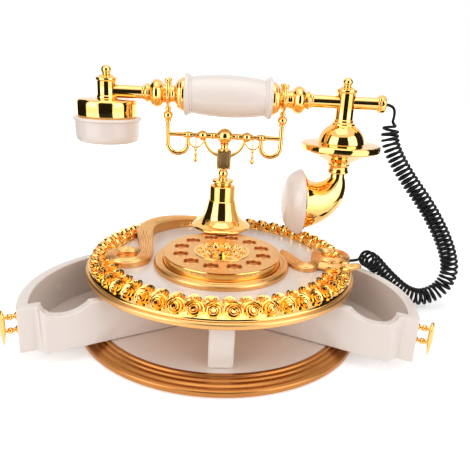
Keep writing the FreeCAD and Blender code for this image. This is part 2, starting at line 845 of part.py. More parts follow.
ear_cup = turned("ear_cup_body", [
    ("capsule_radius", "0"),
    ("ear_mouth_radius", "0"),
    ("ear_cup_radius", "ear_cup_round"),
    ("ear_cup_radius", "ear_cup_height-ear_lip_thick"),
    ("ear_lip_radius", "ear_cup_height-ear_lip_thick"),
    ("ear_lip_radius", "ear_cup_height"),
    ("0", "ear_cup_height"),
    ("0", "ear_recess+capsule_thick"),
    ("capsule_radius", "ear_recess+capsule_thick"),
])
keep(place(ear_cup, "-ear_x", "post_y", "ear_bottom"), "ear_cup")
receiver = cylinder("receiver_capsule", "capsule_radius", "capsule_thick")
keep(place(receiver, "-ear_x", "post_y", "ear_bottom+ear_recess"), "receiver")

collar_bottom = "shade_top-shade_thick-bowl_height-horn_collar_height"
shade_rise = "horn_collar_height+bowl_height"
dome_foot = shade_rise + "+shade_thick"
dome_top = dome_foot + "+dome_height"
stub_rise = f"{stub_top}-shade_top+{dome_foot}"
mouth_stem = turned("mouth_stem_body", [
    ("0", "0"),
    ("horn_collar", "0"),
    ("horn_collar", "horn_collar_height"),
    ("shade_radius", shade_rise),
    ("shade_radius", dome_foot),
    ("dome_radius", dome_foot),
    ("dome_radius-dome_taper/4", dome_foot + "+dome_height/2"),
    ("dome_radius-dome_taper", dome_top),
    ("stub_radius", dome_top),
] + finialProfile(stub_rise))
keep(place(mouth_stem, "mouth_x", "post_y", collar_bottom), "mouth_stem")

# The horn curves down from its collar and widens to the mouthpiece
mouth_back = amount("mouth_face_x+mouth_thick")
horn_top = amount(collar_bottom)
horn_reach = amount("mouth_x") - mouth_back
horn_fall = horn_top - amount("horn_neck_length") - amount("mouth_z")
horn_start = V(amount("mouth_x"), amount("post_y"), horn_top)
sections = [Part.Wire(Part.makeCircle(amount("horn_neck"), horn_start, V(0, 0, -1)))]
horn_steps = 6
for step in range(horn_steps + 1):
    share = step / horn_steps
    turn = math.pi / 2 * share
    middle = V(
        mouth_back + horn_reach * math.cos(turn),
        amount("post_y"),
        amount("mouth_z") + horn_fall * (1 - math.sin(turn)),
    )
    heading = V(-horn_reach * math.sin(turn), 0, -horn_fall * math.cos(turn))
    radius = amount("horn_neck") + (amount("horn_flare") - amount("horn_neck")) * share
    sections.append(Part.Wire(Part.makeCircle(radius, middle, heading)))
horn = doc.addObject("Part::Feature", "horn")
horn.Shape = Part.makeLoft(sections, True)
keep(horn, "mouth_horn")

mouthpiece = turned("mouth_ring", [
    ("transmitter_radius", "0"),
    ("mouth_face", "0"),
    ("mouth_shoulder", "mouth_crown"),
    ("mouth_radius", "mouth_thick-mouth_rim"),
    ("mouth_radius", "mouth_thick"),
    ("0", "mouth_thick"),
    ("0", "mouth_recess+transmitter_thick"),
    ("transmitter_radius", "mouth_recess+transmitter_thick"),
])
keep(place(mouthpiece, "mouth_face_x", "post_y", "mouth_z", alongX), "mouthpiece")
transmitter = cylinder("transmitter_capsule", "transmitter_radius", "transmitter_thick")
keep(place(transmitter, "mouth_face_x+mouth_recess", "post_y", "mouth_z", alongX), "transmitter")

# The cord leaves the rim of the disc through a small sleeve on its right
socket_out = f"{math.sqrt(amount('disc_radius') ** 2 - amount('socket_y') ** 2):.4f}"
socket = cylinder("sleeve", "socket_radius", "socket_length")
place(socket, socket_out + "-socket_length/2", "socket_y", "disc_bottom+disc_rim/2", alongX)
keep(cut("sleeve_seated", socket, disc), "cord_socket")


# Curly cord: one wire from the handset's end, wound about a route that hangs to the table
handset_exit = V(amount("end_x+end_length"), amount("post_y"), amount("handset_z"))
socket_exit = V(
    float(socket_out) + amount("socket_length/2"), amount("socket_y"), amount("disc_bottom+disc_rim/2")
)
cord_route = [
    handset_exit,
    handset_exit + V(4, 0, 0),
    V(152.5, 52, 187.5),
    V(153, 52, 179),
    V(150, 51, 168),
    V(153, 50, 154),
    V(162, 49, 139),
    V(174, 47, 123),
    V(186, 45, 109),
    V(197, 43, 95),
    V(207, 41, 80),
    V(216, 39, 64),
    V(222, 37.5, 49),
    V(224, 36, 36),
    V(220, 35, 23),
    V(210, 34, 14),
    V(196, 33, 10.2),
    V(181, 33, 15),
    V(167, 33, 26),
    V(154, 32, 38),
    V(146, 31, 46.5),
    V(137.5, 27, 52),
    socket_exit + V(11, 1.2, 0.8),
    socket_exit + V(4, 0, 0),
    socket_exit,
]
coil_start = 4
coil_end = 20
samples_per_span = 24


def routePoint(position):
    span = min(int(position), len(cord_route) - 2)
    t = position - span
    last = len(cord_route) - 1
    p0, p1, p2, p3 = (cord_route[min(max(span + k, 0), last)] for k in (-1, 0, 1, 2))
    return (
        p1 * 2
        + (p2 - p0) * t
        + (p0 * 2 - p1 * 5 + p2 * 4 - p3) * t ** 2
        + (p1 * 3 - p0 - p2 * 3 + p3) * t ** 3
    ) * 0.5


total_samples = samples_per_span * (len(cord_route) - 1)
lengths = [0.0]
for number in range(total_samples):
    here = routePoint(number / samples_per_span)
    lengths.append(lengths[-1] + here.distanceToPoint(routePoint((number + 1) / samples_per_span)))


def lengthAt(position):
    place_in_table = min(max(position * samples_per_span, 0), total_samples - 1e-9)
    low = int(place_in_table)
    return lengths[low] + (lengths[low + 1] - lengths[low]) * (place_in_table - low)


coil_from = lengthAt(coil_start)
coil_to = lengthAt(coil_end)
ease = amount("curl_ease")
turn_rate = amount("curl_turns") / (coil_to - coil_from - ease)


# Turns made by a length from either end of the coil: the winding eases in along each end
def turnsFrom(length):
    if length < ease:
        return turn_rate * length ** 2 / (2 * ease)
    return turn_rate * (length - ease / 2)


def lengthForTurns(turns):
    eased = turn_rate * ease / 2
    if turns < eased:
        return math.sqrt(2 * ease * turns / turn_rate)
    return turns / turn_rate + ease / 2


# Where the wire is at a place along the route, wound by its share of the turns
def wirePoint(position):
    middle = routePoint(position)
    ahead = (routePoint(position + 0.02) - routePoint(position - 0.02)).normalize()
    across = V(0, 1, 0) - ahead * ahead.y
    across.normalize()
    above = ahead.cross(across)
    done = min(max(lengthAt(position) - coil_from, 0.0), coil_to - coil_from)
    left = coil_to - coil_from - done
    ramp = min(done / ease, left / ease, 1.0)
    radius = amount("curl_radius") * ramp ** 2 * (3 - 2 * ramp)
    turns = turnsFrom(done) if done < left else amount("curl_turns") - turnsFrom(left)
    angle = 2 * math.pi * turns
    return middle + across * (radius * math.cos(angle)) + above * (radius * math.sin(angle))


def positionAtLength(length):
    low = 0
    high = float(len(cord_route) - 1)
    for _ in range(40):
        half = (low + high) / 2
        if lengthAt(half) < length:
            low = half
        else:
            high = half
    return low


# Two arcs that join two points and keep the direction at both
def biarc(start, start_way, end, end_way):
    chord = end - start
    both = start_way + end_way
    slack = 2 * (1 - start_way.dot(end_way))
    if slack < 1e-9:
        reach = chord.dot(chord) / (2 * chord.dot(both))
    else:
        reach = (math.sqrt(chord.dot(both) ** 2 + slack * chord.dot(chord)) - chord.dot(both)) / slack
    joint = (start + end + (start_way - end_way) * reach) * 0.5
    return arcFrom(start, start_way, joint) + arcFrom(end, end_way * -1, joint, True)


def arcFrom(start, way, end, backward=False):
    chord = end - start
    length = chord.Length
    along = chord / length
    side = way - along * way.dot(along)
    if side.Length < 1e-4:
        edge = Part.LineSegment(end, start) if backward else Part.LineSegment(start, end)
        return [edge.toShape()]
    angle = math.acos(max(-1.0, min(1.0, way.dot(along))))
    peak = start + chord * 0.5 + side.normalize() * (length / 2 * math.tan(angle / 2))
    radii.append(length / 2 / math.sin(angle))
    arc = Part.Arc(end, peak, start) if backward else Part.Arc(start, peak, end)
    return [arc.toShape()]


radii = []
wire_radius = amount("cord_wire/2")
quarters = int(4 * amount("curl_turns"))
halfway = [lengthForTurns(k / 4) for k in range(quarters // 2 + 1)]
stops = [positionAtLength(coil_from + length) for length in halfway]
stops += [positionAtLength(coil_to - length) for length in reversed(halfway[:-1])]
lead_in = [k / 2 for k in range(2, 2 * coil_start)]
lead_out = [coil_end + k / 2 for k in range(1, 2 * (len(cord_route) - 2 - coil_end) + 1)]
places = lead_in + stops + lead_out
points = [wirePoint(p) for p in places]
ways = [(wirePoint(p + 0.004) - wirePoint(p - 0.004)).normalize() for p in places]
ways[0] = V(1, 0, 0)
ways[-1] = V(-1, 0, 0)
edges = [Part.LineSegment(handset_exit, points[0]).toShape()]
for number in range(len(points) - 1):
    edges += biarc(points[number], ways[number], points[number + 1], ways[number + 1])
edges.append(Part.LineSegment(points[-1], socket_exit).toShape())
spine = Part.Wire(edges)
ring = Part.Wire(Part.makeCircle(wire_radius, handset_exit, V(1, 0, 0)))
cord = doc.addObject("Part::Feature", "cord")
cord.Shape = spine.makePipeShell([ring], True, False)
keep(cord, "handset_cord")

# Least gap between turns, on points along the wire that are over half a turn apart
trail = spine.discretize(Number=quarters * 4)
apart = int(len(trail) / amount("curl_turns") / 2)
least = min(
    trail[i].distanceToPoint(trail[j])
    for i in range(len(trail))
    for j in range(i + apart, min(i + 4 * apart, len(trail)))
)
print(f"cord length {spine.Length:.1f} mm, least gap {least - 2 * wire_radius:.2f} mm")
print(f"cord tightest radius {min(radii):.2f} mm, volume over section times length "
      f"{cord.Shape.Volume / (math.pi * wire_radius ** 2 * spine.Length):.4f}")


doc.recompute()
for item in doc.Objects:
    if "Invalid" in item.State or "Error" in item.State:
        raise RuntimeError(f"{item.Name} did not build: {item.State}")
for item in subparts:
    if item.Shape.isNull() or not item.Shape.isValid():
        raise RuntimeError(f"{item.Label} has no valid shape")

os.makedirs("parts", exist_ok=True)
for item in subparts:
    item.Shape.exportStep(f"parts/{item.Label}.step")
print(f"{len(subparts)} sub-parts written")
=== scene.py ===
import math

import bmesh
import bpy
from mathutils import Matrix, Vector


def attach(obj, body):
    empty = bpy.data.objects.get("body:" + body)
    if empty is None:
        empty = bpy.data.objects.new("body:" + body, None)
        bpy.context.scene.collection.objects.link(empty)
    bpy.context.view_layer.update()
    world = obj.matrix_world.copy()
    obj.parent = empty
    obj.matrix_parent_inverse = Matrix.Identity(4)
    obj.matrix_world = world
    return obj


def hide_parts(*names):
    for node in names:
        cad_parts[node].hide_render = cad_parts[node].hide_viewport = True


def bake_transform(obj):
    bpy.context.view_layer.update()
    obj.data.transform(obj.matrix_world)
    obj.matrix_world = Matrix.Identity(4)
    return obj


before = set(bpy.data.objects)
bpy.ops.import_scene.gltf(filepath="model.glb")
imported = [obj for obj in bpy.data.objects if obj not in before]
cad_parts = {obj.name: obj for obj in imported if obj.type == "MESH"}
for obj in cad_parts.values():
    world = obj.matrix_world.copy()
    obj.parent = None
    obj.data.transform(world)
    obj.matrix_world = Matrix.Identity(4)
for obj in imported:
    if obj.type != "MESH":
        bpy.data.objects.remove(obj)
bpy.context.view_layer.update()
scene = bpy.context.scene
mm = 0.001
fullTurn = 2 * math.pi
print("frame loaded,", len(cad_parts), "nodes")


def placed(name, data):
    item = bpy.data.objects.new(name, data)
    scene.collection.objects.link(item)
    return item


# The object's final mesh, in place of the object
def solved(item):
    mesh = bpy.data.meshes.new_from_object(item.evaluated_get(bpy.context.evaluated_depsgraph_get()))
    bpy.data.objects.remove(item)
    return mesh


# Camera

cameraView = {
    "place": (-0.0131, -0.4225, 0.2200),
    "pitch": 0.3215,    # down from level
    "yaw": 0.0572,
    "roll": 0.0540,
    "lens": 39.71,
    "sensor": 36.0,
    "near": 0.01,
}


def makeCamera(view):
    data = bpy.data.cameras.new("photoCamera")
    data.sensor_fit = "HORIZONTAL"
    data.sensor_width = view["sensor"]
    data.lens = view["lens"]
    data.clip_start = view["near"]
    eye = placed("photoCamera", data)
    pitch, yaw, roll = view["pitch"], view["yaw"], view["roll"]
    ahead = Vector((math.sin(yaw) * math.cos(pitch), math.cos(yaw) * math.cos(pitch), -math.sin(pitch)))
    level = Vector((math.cos(yaw), -math.sin(yaw), 0))
    upright = level.cross(ahead)
    right = level * math.cos(roll) + upright * math.sin(roll)
    top = upright * math.cos(roll) - level * math.sin(roll)
    turn = Matrix((right, top, -ahead)).transposed().to_4x4()
    eye.matrix_world = Matrix.Translation(view["place"]) @ turn
    scene.camera = eye


makeCamera(cameraView)


# A node socket that takes part in arithmetic
class Wire:
    def __init__(self, tree, socket=None):
        self.tree = tree
        self.socket = socket

    def feed(self, target, value):
        if isinstance(value, Wire):
            self.tree.links.new(value.socket, target)
        else:
            target.default_value = value

    def node(self, kind, inputs=None, out=0, **settings):
        made = self.tree.nodes.new(kind)
        for name, value in settings.items():
            setattr(made, name, value)
        for name, value in (inputs or {}).items():
            self.feed(made.inputs[name], value)
        return Wire(self.tree, made.outputs[out])

    def maths(self, operation, first, second=0.0):
        return self.node("ShaderNodeMath", {0: first, 1: second}, operation=operation)

    def __add__(self, other):
        return self.maths("ADD", self, other)

    def __mul__(self, other):
        return self.maths("MULTIPLY", self, other)

    def __truediv__(self, other):
        return self.maths("DIVIDE", self, other)

    __radd__ = __add__

    def noise(self, place, scale, detail):
        return self.node("ShaderNodeTexNoise", {"Vector": place, "Scale": scale, "Detail": detail})

    def mix(self, share, first, second):
        return self.node("ShaderNodeMix", {0: share, 6: first, 7: second}, out=2, data_type="RGBA")

    def bump(self, height, strength, distance):
        return self.node("ShaderNodeBump", {"Height": height, "Strength": strength, "Distance": distance})


# Finishes: cloud and grain are noises as (scale, detail), and a bump is (strength, depth in metres)

satinLook = {
    "cloud": (30.0, 2.0), "spread": 0.08, "grain": (2600.0, 1.0), "grainSpread": 0.05, "bump": (0.06, 0.0002),
    "sockets": {"Metallic": 1.0},
}


def plainLook(first, second, scale, rough, metal=0.0):
    return {
        "colours": (first, second), "cloud": (scale, 3.0), "rough": rough, "spread": 0.15,
        "bump": (0.08, 0.0002), "sockets": {"Metallic": metal},
    }


finishes = {
    "polishedGold": {
        "colours": ((1.0, 0.66, 0.235, 1), (0.98, 0.56, 0.155, 1)),
        "cloud": (45.0, 2.0), "rough": 0.035, "spread": 0.03, "grain": (160.0, 1.0), "bump": (0.04, 0.0006),
        "sockets": {"Metallic": 1.0},
    },
    "satinGold": {**satinLook, "colours": ((0.90, 0.53, 0.21, 1), (0.83, 0.43, 0.14, 1)), "rough": 0.30},
    "satinBronze": {**satinLook, "colours": ((0.60, 0.27, 0.08, 1), (0.46, 0.175, 0.042, 1)), "rough": 0.24},
    "ivoryPlastic": {
        "colours": ((0.865, 0.775, 0.715, 1), (0.845, 0.745, 0.68, 1)),
        "cloud": (18.0, 3.0), "rough": 0.24, "spread": 0.05, "grain": (420.0, 1.0), "bump": (0.03, 0.0002),
        "sockets": {
            "Subsurface Weight": 0.12, "Subsurface Radius": (1.0, 0.55, 0.4), "Subsurface Scale": 0.003,
            "Coat Weight": 0.25, "Coat Roughness": 0.08,
        },
    },
    "glossyCord": {
        "colours": ((0.006, 0.006, 0.006, 1), (0.014, 0.014, 0.015, 1)),
        "cloud": (260.0, 3.0), "rough": 0.30, "spread": 0.14, "bump": (0.05, 0.0002),
        "sockets": {"Specular IOR Level": 0.14},
    },
    "amberButton": {
        "colours": ((0.46, 0.105, 0.012, 1), (0.80, 0.26, 0.035, 1)),
        "cloud": (380.0, 2.0), "rough": 0.16, "spread": 0.06, "bump": (0.05, 0.0003),
        "sockets": {"Specular IOR Level": 0.3},
    },
    "smokyGem": {
        "colours": ((0.13, 0.07, 0.022, 1), (0.34, 0.20, 0.075, 1)),
        "cloud": (140.0, 3.0), "rough": 0.05, "spread": 0.04,
        "sockets": {"Transmission Weight": 0.35, "IOR": 1.56, "Specular IOR Level": 0.3},
    },
    "rubberFeet": plainLook((0.03, 0.03, 0.03, 1), (0.05, 0.05, 0.05, 1), 500.0, 0.6),
    "darkPlastic": plainLook((0.03, 0.026, 0.024, 1), (0.06, 0.05, 0.045, 1), 300.0, 0.3),
    "steel": plainLook((0.5, 0.5, 0.5, 1), (0.62, 0.61, 0.6, 1), 400.0, 0.25, 1.0),
    "boardGreen": plainLook((0.06, 0.13, 0.06, 1), (0.10, 0.19, 0.09, 1), 250.0, 0.4),
    "cardBlack": plainLook((0.002, 0.002, 0.002, 1), (0.004, 0.004, 0.004, 1), 5.0, 0.8),
    "floorPaper": {"colours": ((0.9, 0.9, 0.9, 1), (0.88, 0.88, 0.88, 1)), "cloud": (3.0, 2.0), "rough": 0.7},
}


# Colour and roughness follow the cloud, and the bump follows the grain where there is one
def finish(name):
    look = finishes[name]
    material = bpy.data.materials.new(name)
    material.use_nodes = True
    tree = material.node_tree
    wire = Wire(tree)
    place = wire.node("ShaderNodeTexCoord", out=3)  # Object
    cloud = wire.noise(place, *look["cloud"])
    grain = wire.noise(place, *look["grain"]) if "grain" in look else cloud
    sockets = {"Base Color": wire.mix(cloud, *look["colours"]), "Roughness": look["rough"]}
    if "spread" in look:
        sockets["Roughness"] += cloud * look["spread"]
    if "grainSpread" in look:
        sockets["Roughness"] += grain * look["grainSpread"]
    if "bump" in look:
        sockets["Normal"] = wire.bump(grain, *look["bump"])
    for socket, value in (sockets | look.get("sockets", {})).items():
        wire.feed(tree.nodes["Principled BSDF"].inputs[socket], value)
    return material


gold = finish("polishedGold")
satin = finish("satinGold")
bronze = finish("satinBronze")
ivory = finish("ivoryPlastic")
blackCord = finish("glossyCord")
amber = finish("amberButton")
smoke = finish("smokyGem")
rubber = finish("rubberFeet")
darkPlastic = finish("darkPlastic")
steel = finish("steel")
boardGreen = finish("boardGreen")
print("finishes made")


# Shapes: a shape is a list of points in mm and a list of faces

alongX = Matrix.Rotation(math.pi / 2, 4, "Y")
againstX = Matrix.Rotation(-math.pi / 2, 4, "Y")
alongY = Matrix.Rotation(-math.pi / 2, 4, "X")
corners = ((-1, -1), (1, -1), (1, 1), (-1, 1))
onAxis = 1e-4


def at(x, y, z, turn=None):
    spot = Matrix.Translation((x, y, z))
    return spot @ turn if turn else spot


def around(sides):
    return [fullTurn * k / sides for k in range(sides)]


def polar(radius, angle, height=0.0):
    return Vector((radius * math.cos(angle), radius * math.sin(angle), height))


def moved(shape, matrix):
    return [matrix @ Vector(p) for p in shape[0]], shape[1]


def joined(*shapes):
    points, faces = [], []
    for shapePoints, shapeFaces in shapes:
        start = len(points)
        points += shapePoints
        faces += [[start + i for i in face] for face in shapeFaces]
    return points, faces


# A smooth curve through all of the points
def flowing(points, steps=8):
    line = [Vector(p) for p in points]
    last = len(line) - 1
    out = []
    for n in range(last):
        a, b, c, d = line[max(n - 1, 0)], line[n], line[n + 1], line[min(n + 2, last)]
        for k in range(steps):
            t = k / steps
            out.append((b * 2 + (c - a) * t + (a * 2 - b * 5 + c * 4 - d) * t ** 2
                        + (b * 3 - a - c * 3 + d) * t ** 3) * 0.5)
    return out + [line[-1]]


# A profile of (radius, height) corners, each with its own rounding where a third number gives one
def eased(profile, steps=5, loop=False):
    line = []
    count = len(profile)
    mostOfSide = 0.48
    for n, corner in enumerate(profile):
        here = Vector(corner[:2])
        ease = corner[2] if len(corner) > 2 else 0
        if not ease or (not loop and n in (0, count - 1)):
            line.append(here)
            continue
        back = Vector(profile[n - 1][:2]) - here
        on = Vector(profile[(n + 1) % count][:2]) - here
        first = here + back.normalized() * min(ease, back.length * mostOfSide)
        last = here + on.normalized() * min(ease, on.length * mostOfSide)
        for k in range(steps + 1):
            t = k / steps
            line.append(first * (1 - t) ** 2 + here * (2 * t * (1 - t)) + last * t ** 2)
    return line


# The far end of a profile that is the same from both ends
def mirrored(profile, length):
    return [(radius, length - height, *ease) for radius, height, *ease in reversed(profile)]


# Faces from one row of points to the next, where a row may be a single point
def between(low, high, closed=True):
    count = max(len(low), len(high))
    faces = []
    for k in range(count if closed else count - 1):
        n = (k + 1) % count
        pair = [low[k], low[n]] if len(low) > 1 else [low[0]]
        faces.append(pair + ([high[n], high[k]] if len(high) > 1 else [high[0]]))
    return faces


def lathe(profile, sides, loop=False):
    points, faces, rows = [], [], []
    for radius, height in profile:
        angles = [0.0] if radius < onAxis else around(sides)
        rows.append(range(len(points), len(points) + len(angles)))
        points += [polar(radius if len(angles) > 1 else 0.0, angle, height) for angle in angles]
    for low, high in zip(rows, rows[1:] + rows[:1] if loop else rows[1:]):
        faces += between(low, high)
    return points, faces


def turned(profile, sides, place):
    return moved(lathe(profile, sides), place)


# A closed profile turned about the upright axis
def ringOfProfile(profile, sides):
    return lathe(eased(profile, loop=True), sides, True)


def ball(radius, sides, place=Matrix()):
    rows = sides // 2
    angles = [math.pi * k / rows for k in range(rows + 1)]
    return turned([(radius * math.sin(a), -radius * math.cos(a)) for a in angles], sides, place)


# Closed rings of points joined one to the next, with a middle point at each end
def loft(rings):
    points, faces, rows = [], [], []
    for ring in rings:
        rows.append(range(len(points), len(points) + len(ring)))
        points += [Vector(p) for p in ring]
    for low, high in zip(rows, rows[1:]):
        faces += between(low, high)
    first, last = len(points), len(points) + 1
    points += [sum((Vector(p) for p in ring), Vector()) / len(ring) for ring in (rings[0], rings[-1])]
    return points, faces + between([first], rows[0]) + between(rows[-1], [last])


def tube(line, radius, sides):
    line = [Vector(p) for p in line]
    rings = []
    side = None
    for n, here in enumerate(line):
        ahead = (line[min(n + 1, len(line) - 1)] - line[max(n - 1, 0)]).normalized()
        if side is None:
            side = ahead.orthogonal()
        side = (side - ahead * side.dot(ahead)).normalized()
        up = ahead.cross(side)
        rings.append([here + (side * math.cos(a) + up * math.sin(a)) * radius for a in around(sides)])
    return loft(rings)


def arc(centre, radius, start, end, plane="xz", steps=32):
    line = []
    for k in range(steps + 1):
        angle = math.radians(start + (end - start) * k / steps)
        across, up = radius * math.cos(angle), radius * math.sin(angle)
        shift = (across, 0, up) if plane == "xz" else (0, across, up)
        line.append(Vector(centre) + Vector(shift))
    return line


def boxShape(width, depth, height):
    points = [Vector((sx * width / 2, sy * depth / 2, sz * height / 2))
              for sz in (-1, 1) for sy in (-1, 1) for sx in (-1, 1)]
    faces = [[0, 2, 3, 1], [4, 5, 7, 6], [0, 1, 5, 4], [2, 6, 7, 3], [0, 4, 6, 2], [1, 3, 7, 5]]
    return points, faces


def rounded(work, edges, width, segments):
    bmesh.ops.bevel(work, geom=edges, offset=width * mm, segments=segments, profile=0.5, affect="EDGES")


def dressed(mesh, material, sharp):
    mesh.polygons.foreach_set("use_smooth", [True] * len(mesh.polygons))
    mesh.set_sharp_from_angle(angle=math.radians(sharp))
    mesh.materials.append(material)
    return mesh


# Edges over sharp degrees stay crisp, and a soften in mm rounds those over 30
def meshOf(name, shape, material, sharp=40, soften=0.0):
    mesh = bpy.data.meshes.new(name)
    mesh.from_pydata([Vector(p) * mm for p in shape[0]], [], [list(f) for f in shape[1]])
    work = bmesh.new()
    work.from_mesh(mesh)
    bmesh.ops.recalc_face_normals(work, faces=work.faces)
    if soften:
        rounded(work, [e for e in work.edges if e.calc_face_angle(0) > math.radians(30)], soften, 3)
    work.to_mesh(mesh)
    work.free()
    return dressed(mesh, material, sharp)


def settle(item, body, stands=()):
    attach(item, body)
    if stands:
        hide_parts(*stands)


def piece(name, shape, material, body, stands=(), sharp=40, soften=0.0, slot=None):
    item = placed(name, meshOf(name, shape, material, sharp, soften))
    settle(item, body, stands)


# Curly cord

curlyCord = {
    "wire": 2.7,
    "curl": 7.0,
    "turns": 59,
    "ease": 12.0,
    "perTurn": 22,
    "leadSteps": 16,
    "sides": 8,
    "coil": (3, 22),    # the route's points where the coil starts and ends
    "route": [
        (143, 52, 190.6), (147, 52, 190.6), (152.5, 52, 187.5), (153, 52, 179), (150, 51, 168),
        (153, 50, 154), (162, 49, 139), (174, 47, 123), (186, 45, 109), (197, 43, 95), (207, 41, 80),
        (216, 39, 64), (222, 37.5, 49), (224, 36, 36), (220, 35, 23), (210, 34, 14), (196, 33, 10.2),
        (181, 33, 15), (167, 33, 26), (154, 32, 38), (146, 31, 46.5), (137.5, 27, 52),
        (127.23, 21.2, 52.05), (120.23, 20, 51.25), (116.23, 20, 51.25),
    ],
}


def cordLine(route):
    data = bpy.data.curves.new("cordRoute", "CURVE")
    data.dimensions = "3D"
    spline = data.splines.new("NURBS")
    spline.points.add(len(route) - 1)
    for point, place in zip(spline.points, route):
        point.co = (*place, 1)
    spline.order_u = 3
    spline.use_endpoint_u = True
    spline.resolution_u = 24
    mesh = solved(placed("cordRoute", data))
    line = [v.co.copy() for v in mesh.vertices]
    bpy.data.meshes.remove(mesh)
    return line


def curledLine(size):
    line = cordLine(size["route"])
    reach = [0.0]
    for a, b in zip(line, line[1:]):
        reach.append(reach[-1] + (b - a).length)

    def nearest(point):
        return min(range(len(line)), key=lambda n: (line[n] - Vector(point)).length)

    def along(length):
        n = max(k for k in range(len(line) - 1) if reach[k] <= length or k == 0)
        share = (length - reach[n]) / max(reach[n + 1] - reach[n], 1e-9)
        ahead = line[min(n + 2, len(line) - 1)] - line[max(n - 1, 0)]
        return line[n].lerp(line[n + 1], min(share, 1)), ahead.normalized()

    start, end = (reach[nearest(size["route"][k])] for k in size["coil"])
    ease, turns, lead = size["ease"], size["turns"], size["leadSteps"]
    rate = turns / (end - start - ease)

    def wound(length):
        return rate * length ** 2 / (2 * ease) if length < ease else rate * (length - ease / 2)

    count = turns * size["perTurn"]
    stops = [start * k / lead for k in range(lead)]
    stops += [start + (end - start) * k / count for k in range(count)]
    stops += [end + (reach[-1] - end) * k / lead for k in range(lead + 1)]
    out = []
    for length in stops:
        middle, ahead = along(length)
        across = (Vector((0, 1, 0)) - ahead * ahead.y).normalized()
        above = ahead.cross(across)
        done = min(max(length - start, 0), end - start)
        left = end - start - done
        ramp = min(done / ease, left / ease, 1)
        radius = size["curl"] * ramp ** 2 * (3 - 2 * ramp)
        angle = fullTurn * (wound(done) if done < left else turns - wound(left))
        out.append(middle + across * (radius * math.cos(angle)) + above * (radius * math.sin(angle)))
    return out


cordPath = curledLine(curlyCord)
cordLength = sum((b - a).length for a, b in zip(cordPath, cordPath[1:])) * mm
cordTube = tube(cordPath, curlyCord["wire"] / 2, curlyCord["sides"])
cord = placed("curly_cord", meshOf("curly_cord", cordTube, blackCord, 60))
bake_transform(cord)
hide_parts("handset_cord")
[p * mm for p in cordPath]
print("cord", round(cordLength, 3), "m")


# Base moulding, column and top

base = {
    "sides": 160,
    "ring": [
        (94, 1.2), (121, 1.2, 0.5), (121, 5.2, 1.2), (118.4, 6.2, 0.4), (116.8, 6.6, 0.6), (115, 7.9, 1.2),
        (112.6, 8.1, 0.6), (111.6, 9.2, 0.8), (109.2, 9.5, 0.4), (108.8, 11, 0.5), (106, 11, 0.2), (106, 8),
        (94, 8),
    ],
    "rim": [
        (0, 48.5), (112.1, 48.5, 0.6), (114, 49.6, 0.8), (114, 52.8, 0.8), (112.7, 54, 0.5), (0, 54),
    ],
    "column": (18.6, 11.0, 37.5),
    "columnAt": (0, -95.5, 29.75),
    "columnSoften": 2.2,
}
moulding = ringOfProfile(base["ring"], base["sides"])
piece("base_moulding", moulding, bronze, "base", ["base_ring"])
piece("disc_rim", lathe(eased(base["rim"]), base["sides"]), satin, "base", ["top_disc"])
column = moved(boxShape(*base["column"]), at(*base["columnAt"]))
piece("front_pillar", column, ivory, "base", ["front_column"], 50, base["columnSoften"])


# Roses, and other rings of copies

# One ring: sizes in mm, the tilt in degrees, the spin in radians
def ringRow(count, radius, height, tilt=0, scale=1.0, phase=0.0, spin=6.283, seed=1):
    return {
        "Count": count, "Radius": radius, "Height": height, "Tilt": tilt, "Scale": scale, "Phase": phase,
        "Spin": spin, "Seed": seed,
    }


roses = {
    "sectors": 24,
    "heart": 3.4,
    "bud": 0.25,
    "rings": [    # radius, petals, height of the lips, height between them
        (1.35, 2, 3.9, 3), (2.7, 3, 3.7, 2.2), (4.3, 5, 2.7, 1), (6.1, 5, 1.2, -0.6),
    ],
    "twist": 0.7,       # of each ring against the one inside it
    "swell": 0.10,      # of a petal's edge at its middle
    "inset": 0.06,      # of the whole edge
    "valley": 0.62,     # share of the rise that is left between petals
    "budSteps": (0.45, 0.85, 1.0),
    "petalSteps": (0.06, 0.45, 0.82, 1.0),
    "cup": [    # radius, height, depth of the flutes
        (5.6, -0.9, 0), (5.2, -2.4, 0.10), (4.3, -4.6, 0.14), (3.6, -6, 0.10),
    ],
    "flutes": 10,
    "foot": -6.0,
    "bed": [
        (90, 54), (111.8, 54, 0.5), (111.6, 56, 1), (105.6, 59, 2), (96.6, 60.2, 2), (90.3, 59.2, 0.8),
    ],
    "rows": [
        ringRow(50, 105.8, 59.0, tilt=52, scale=1.12, seed=7),
        ringRow(48, 95.2, 60.2, tilt=20, scale=0.98, phase=0.35, seed=8),
        ringRow(50, 100.8, 60.7, tilt=34, scale=0.62, phase=0.5, seed=9),
    ],
}


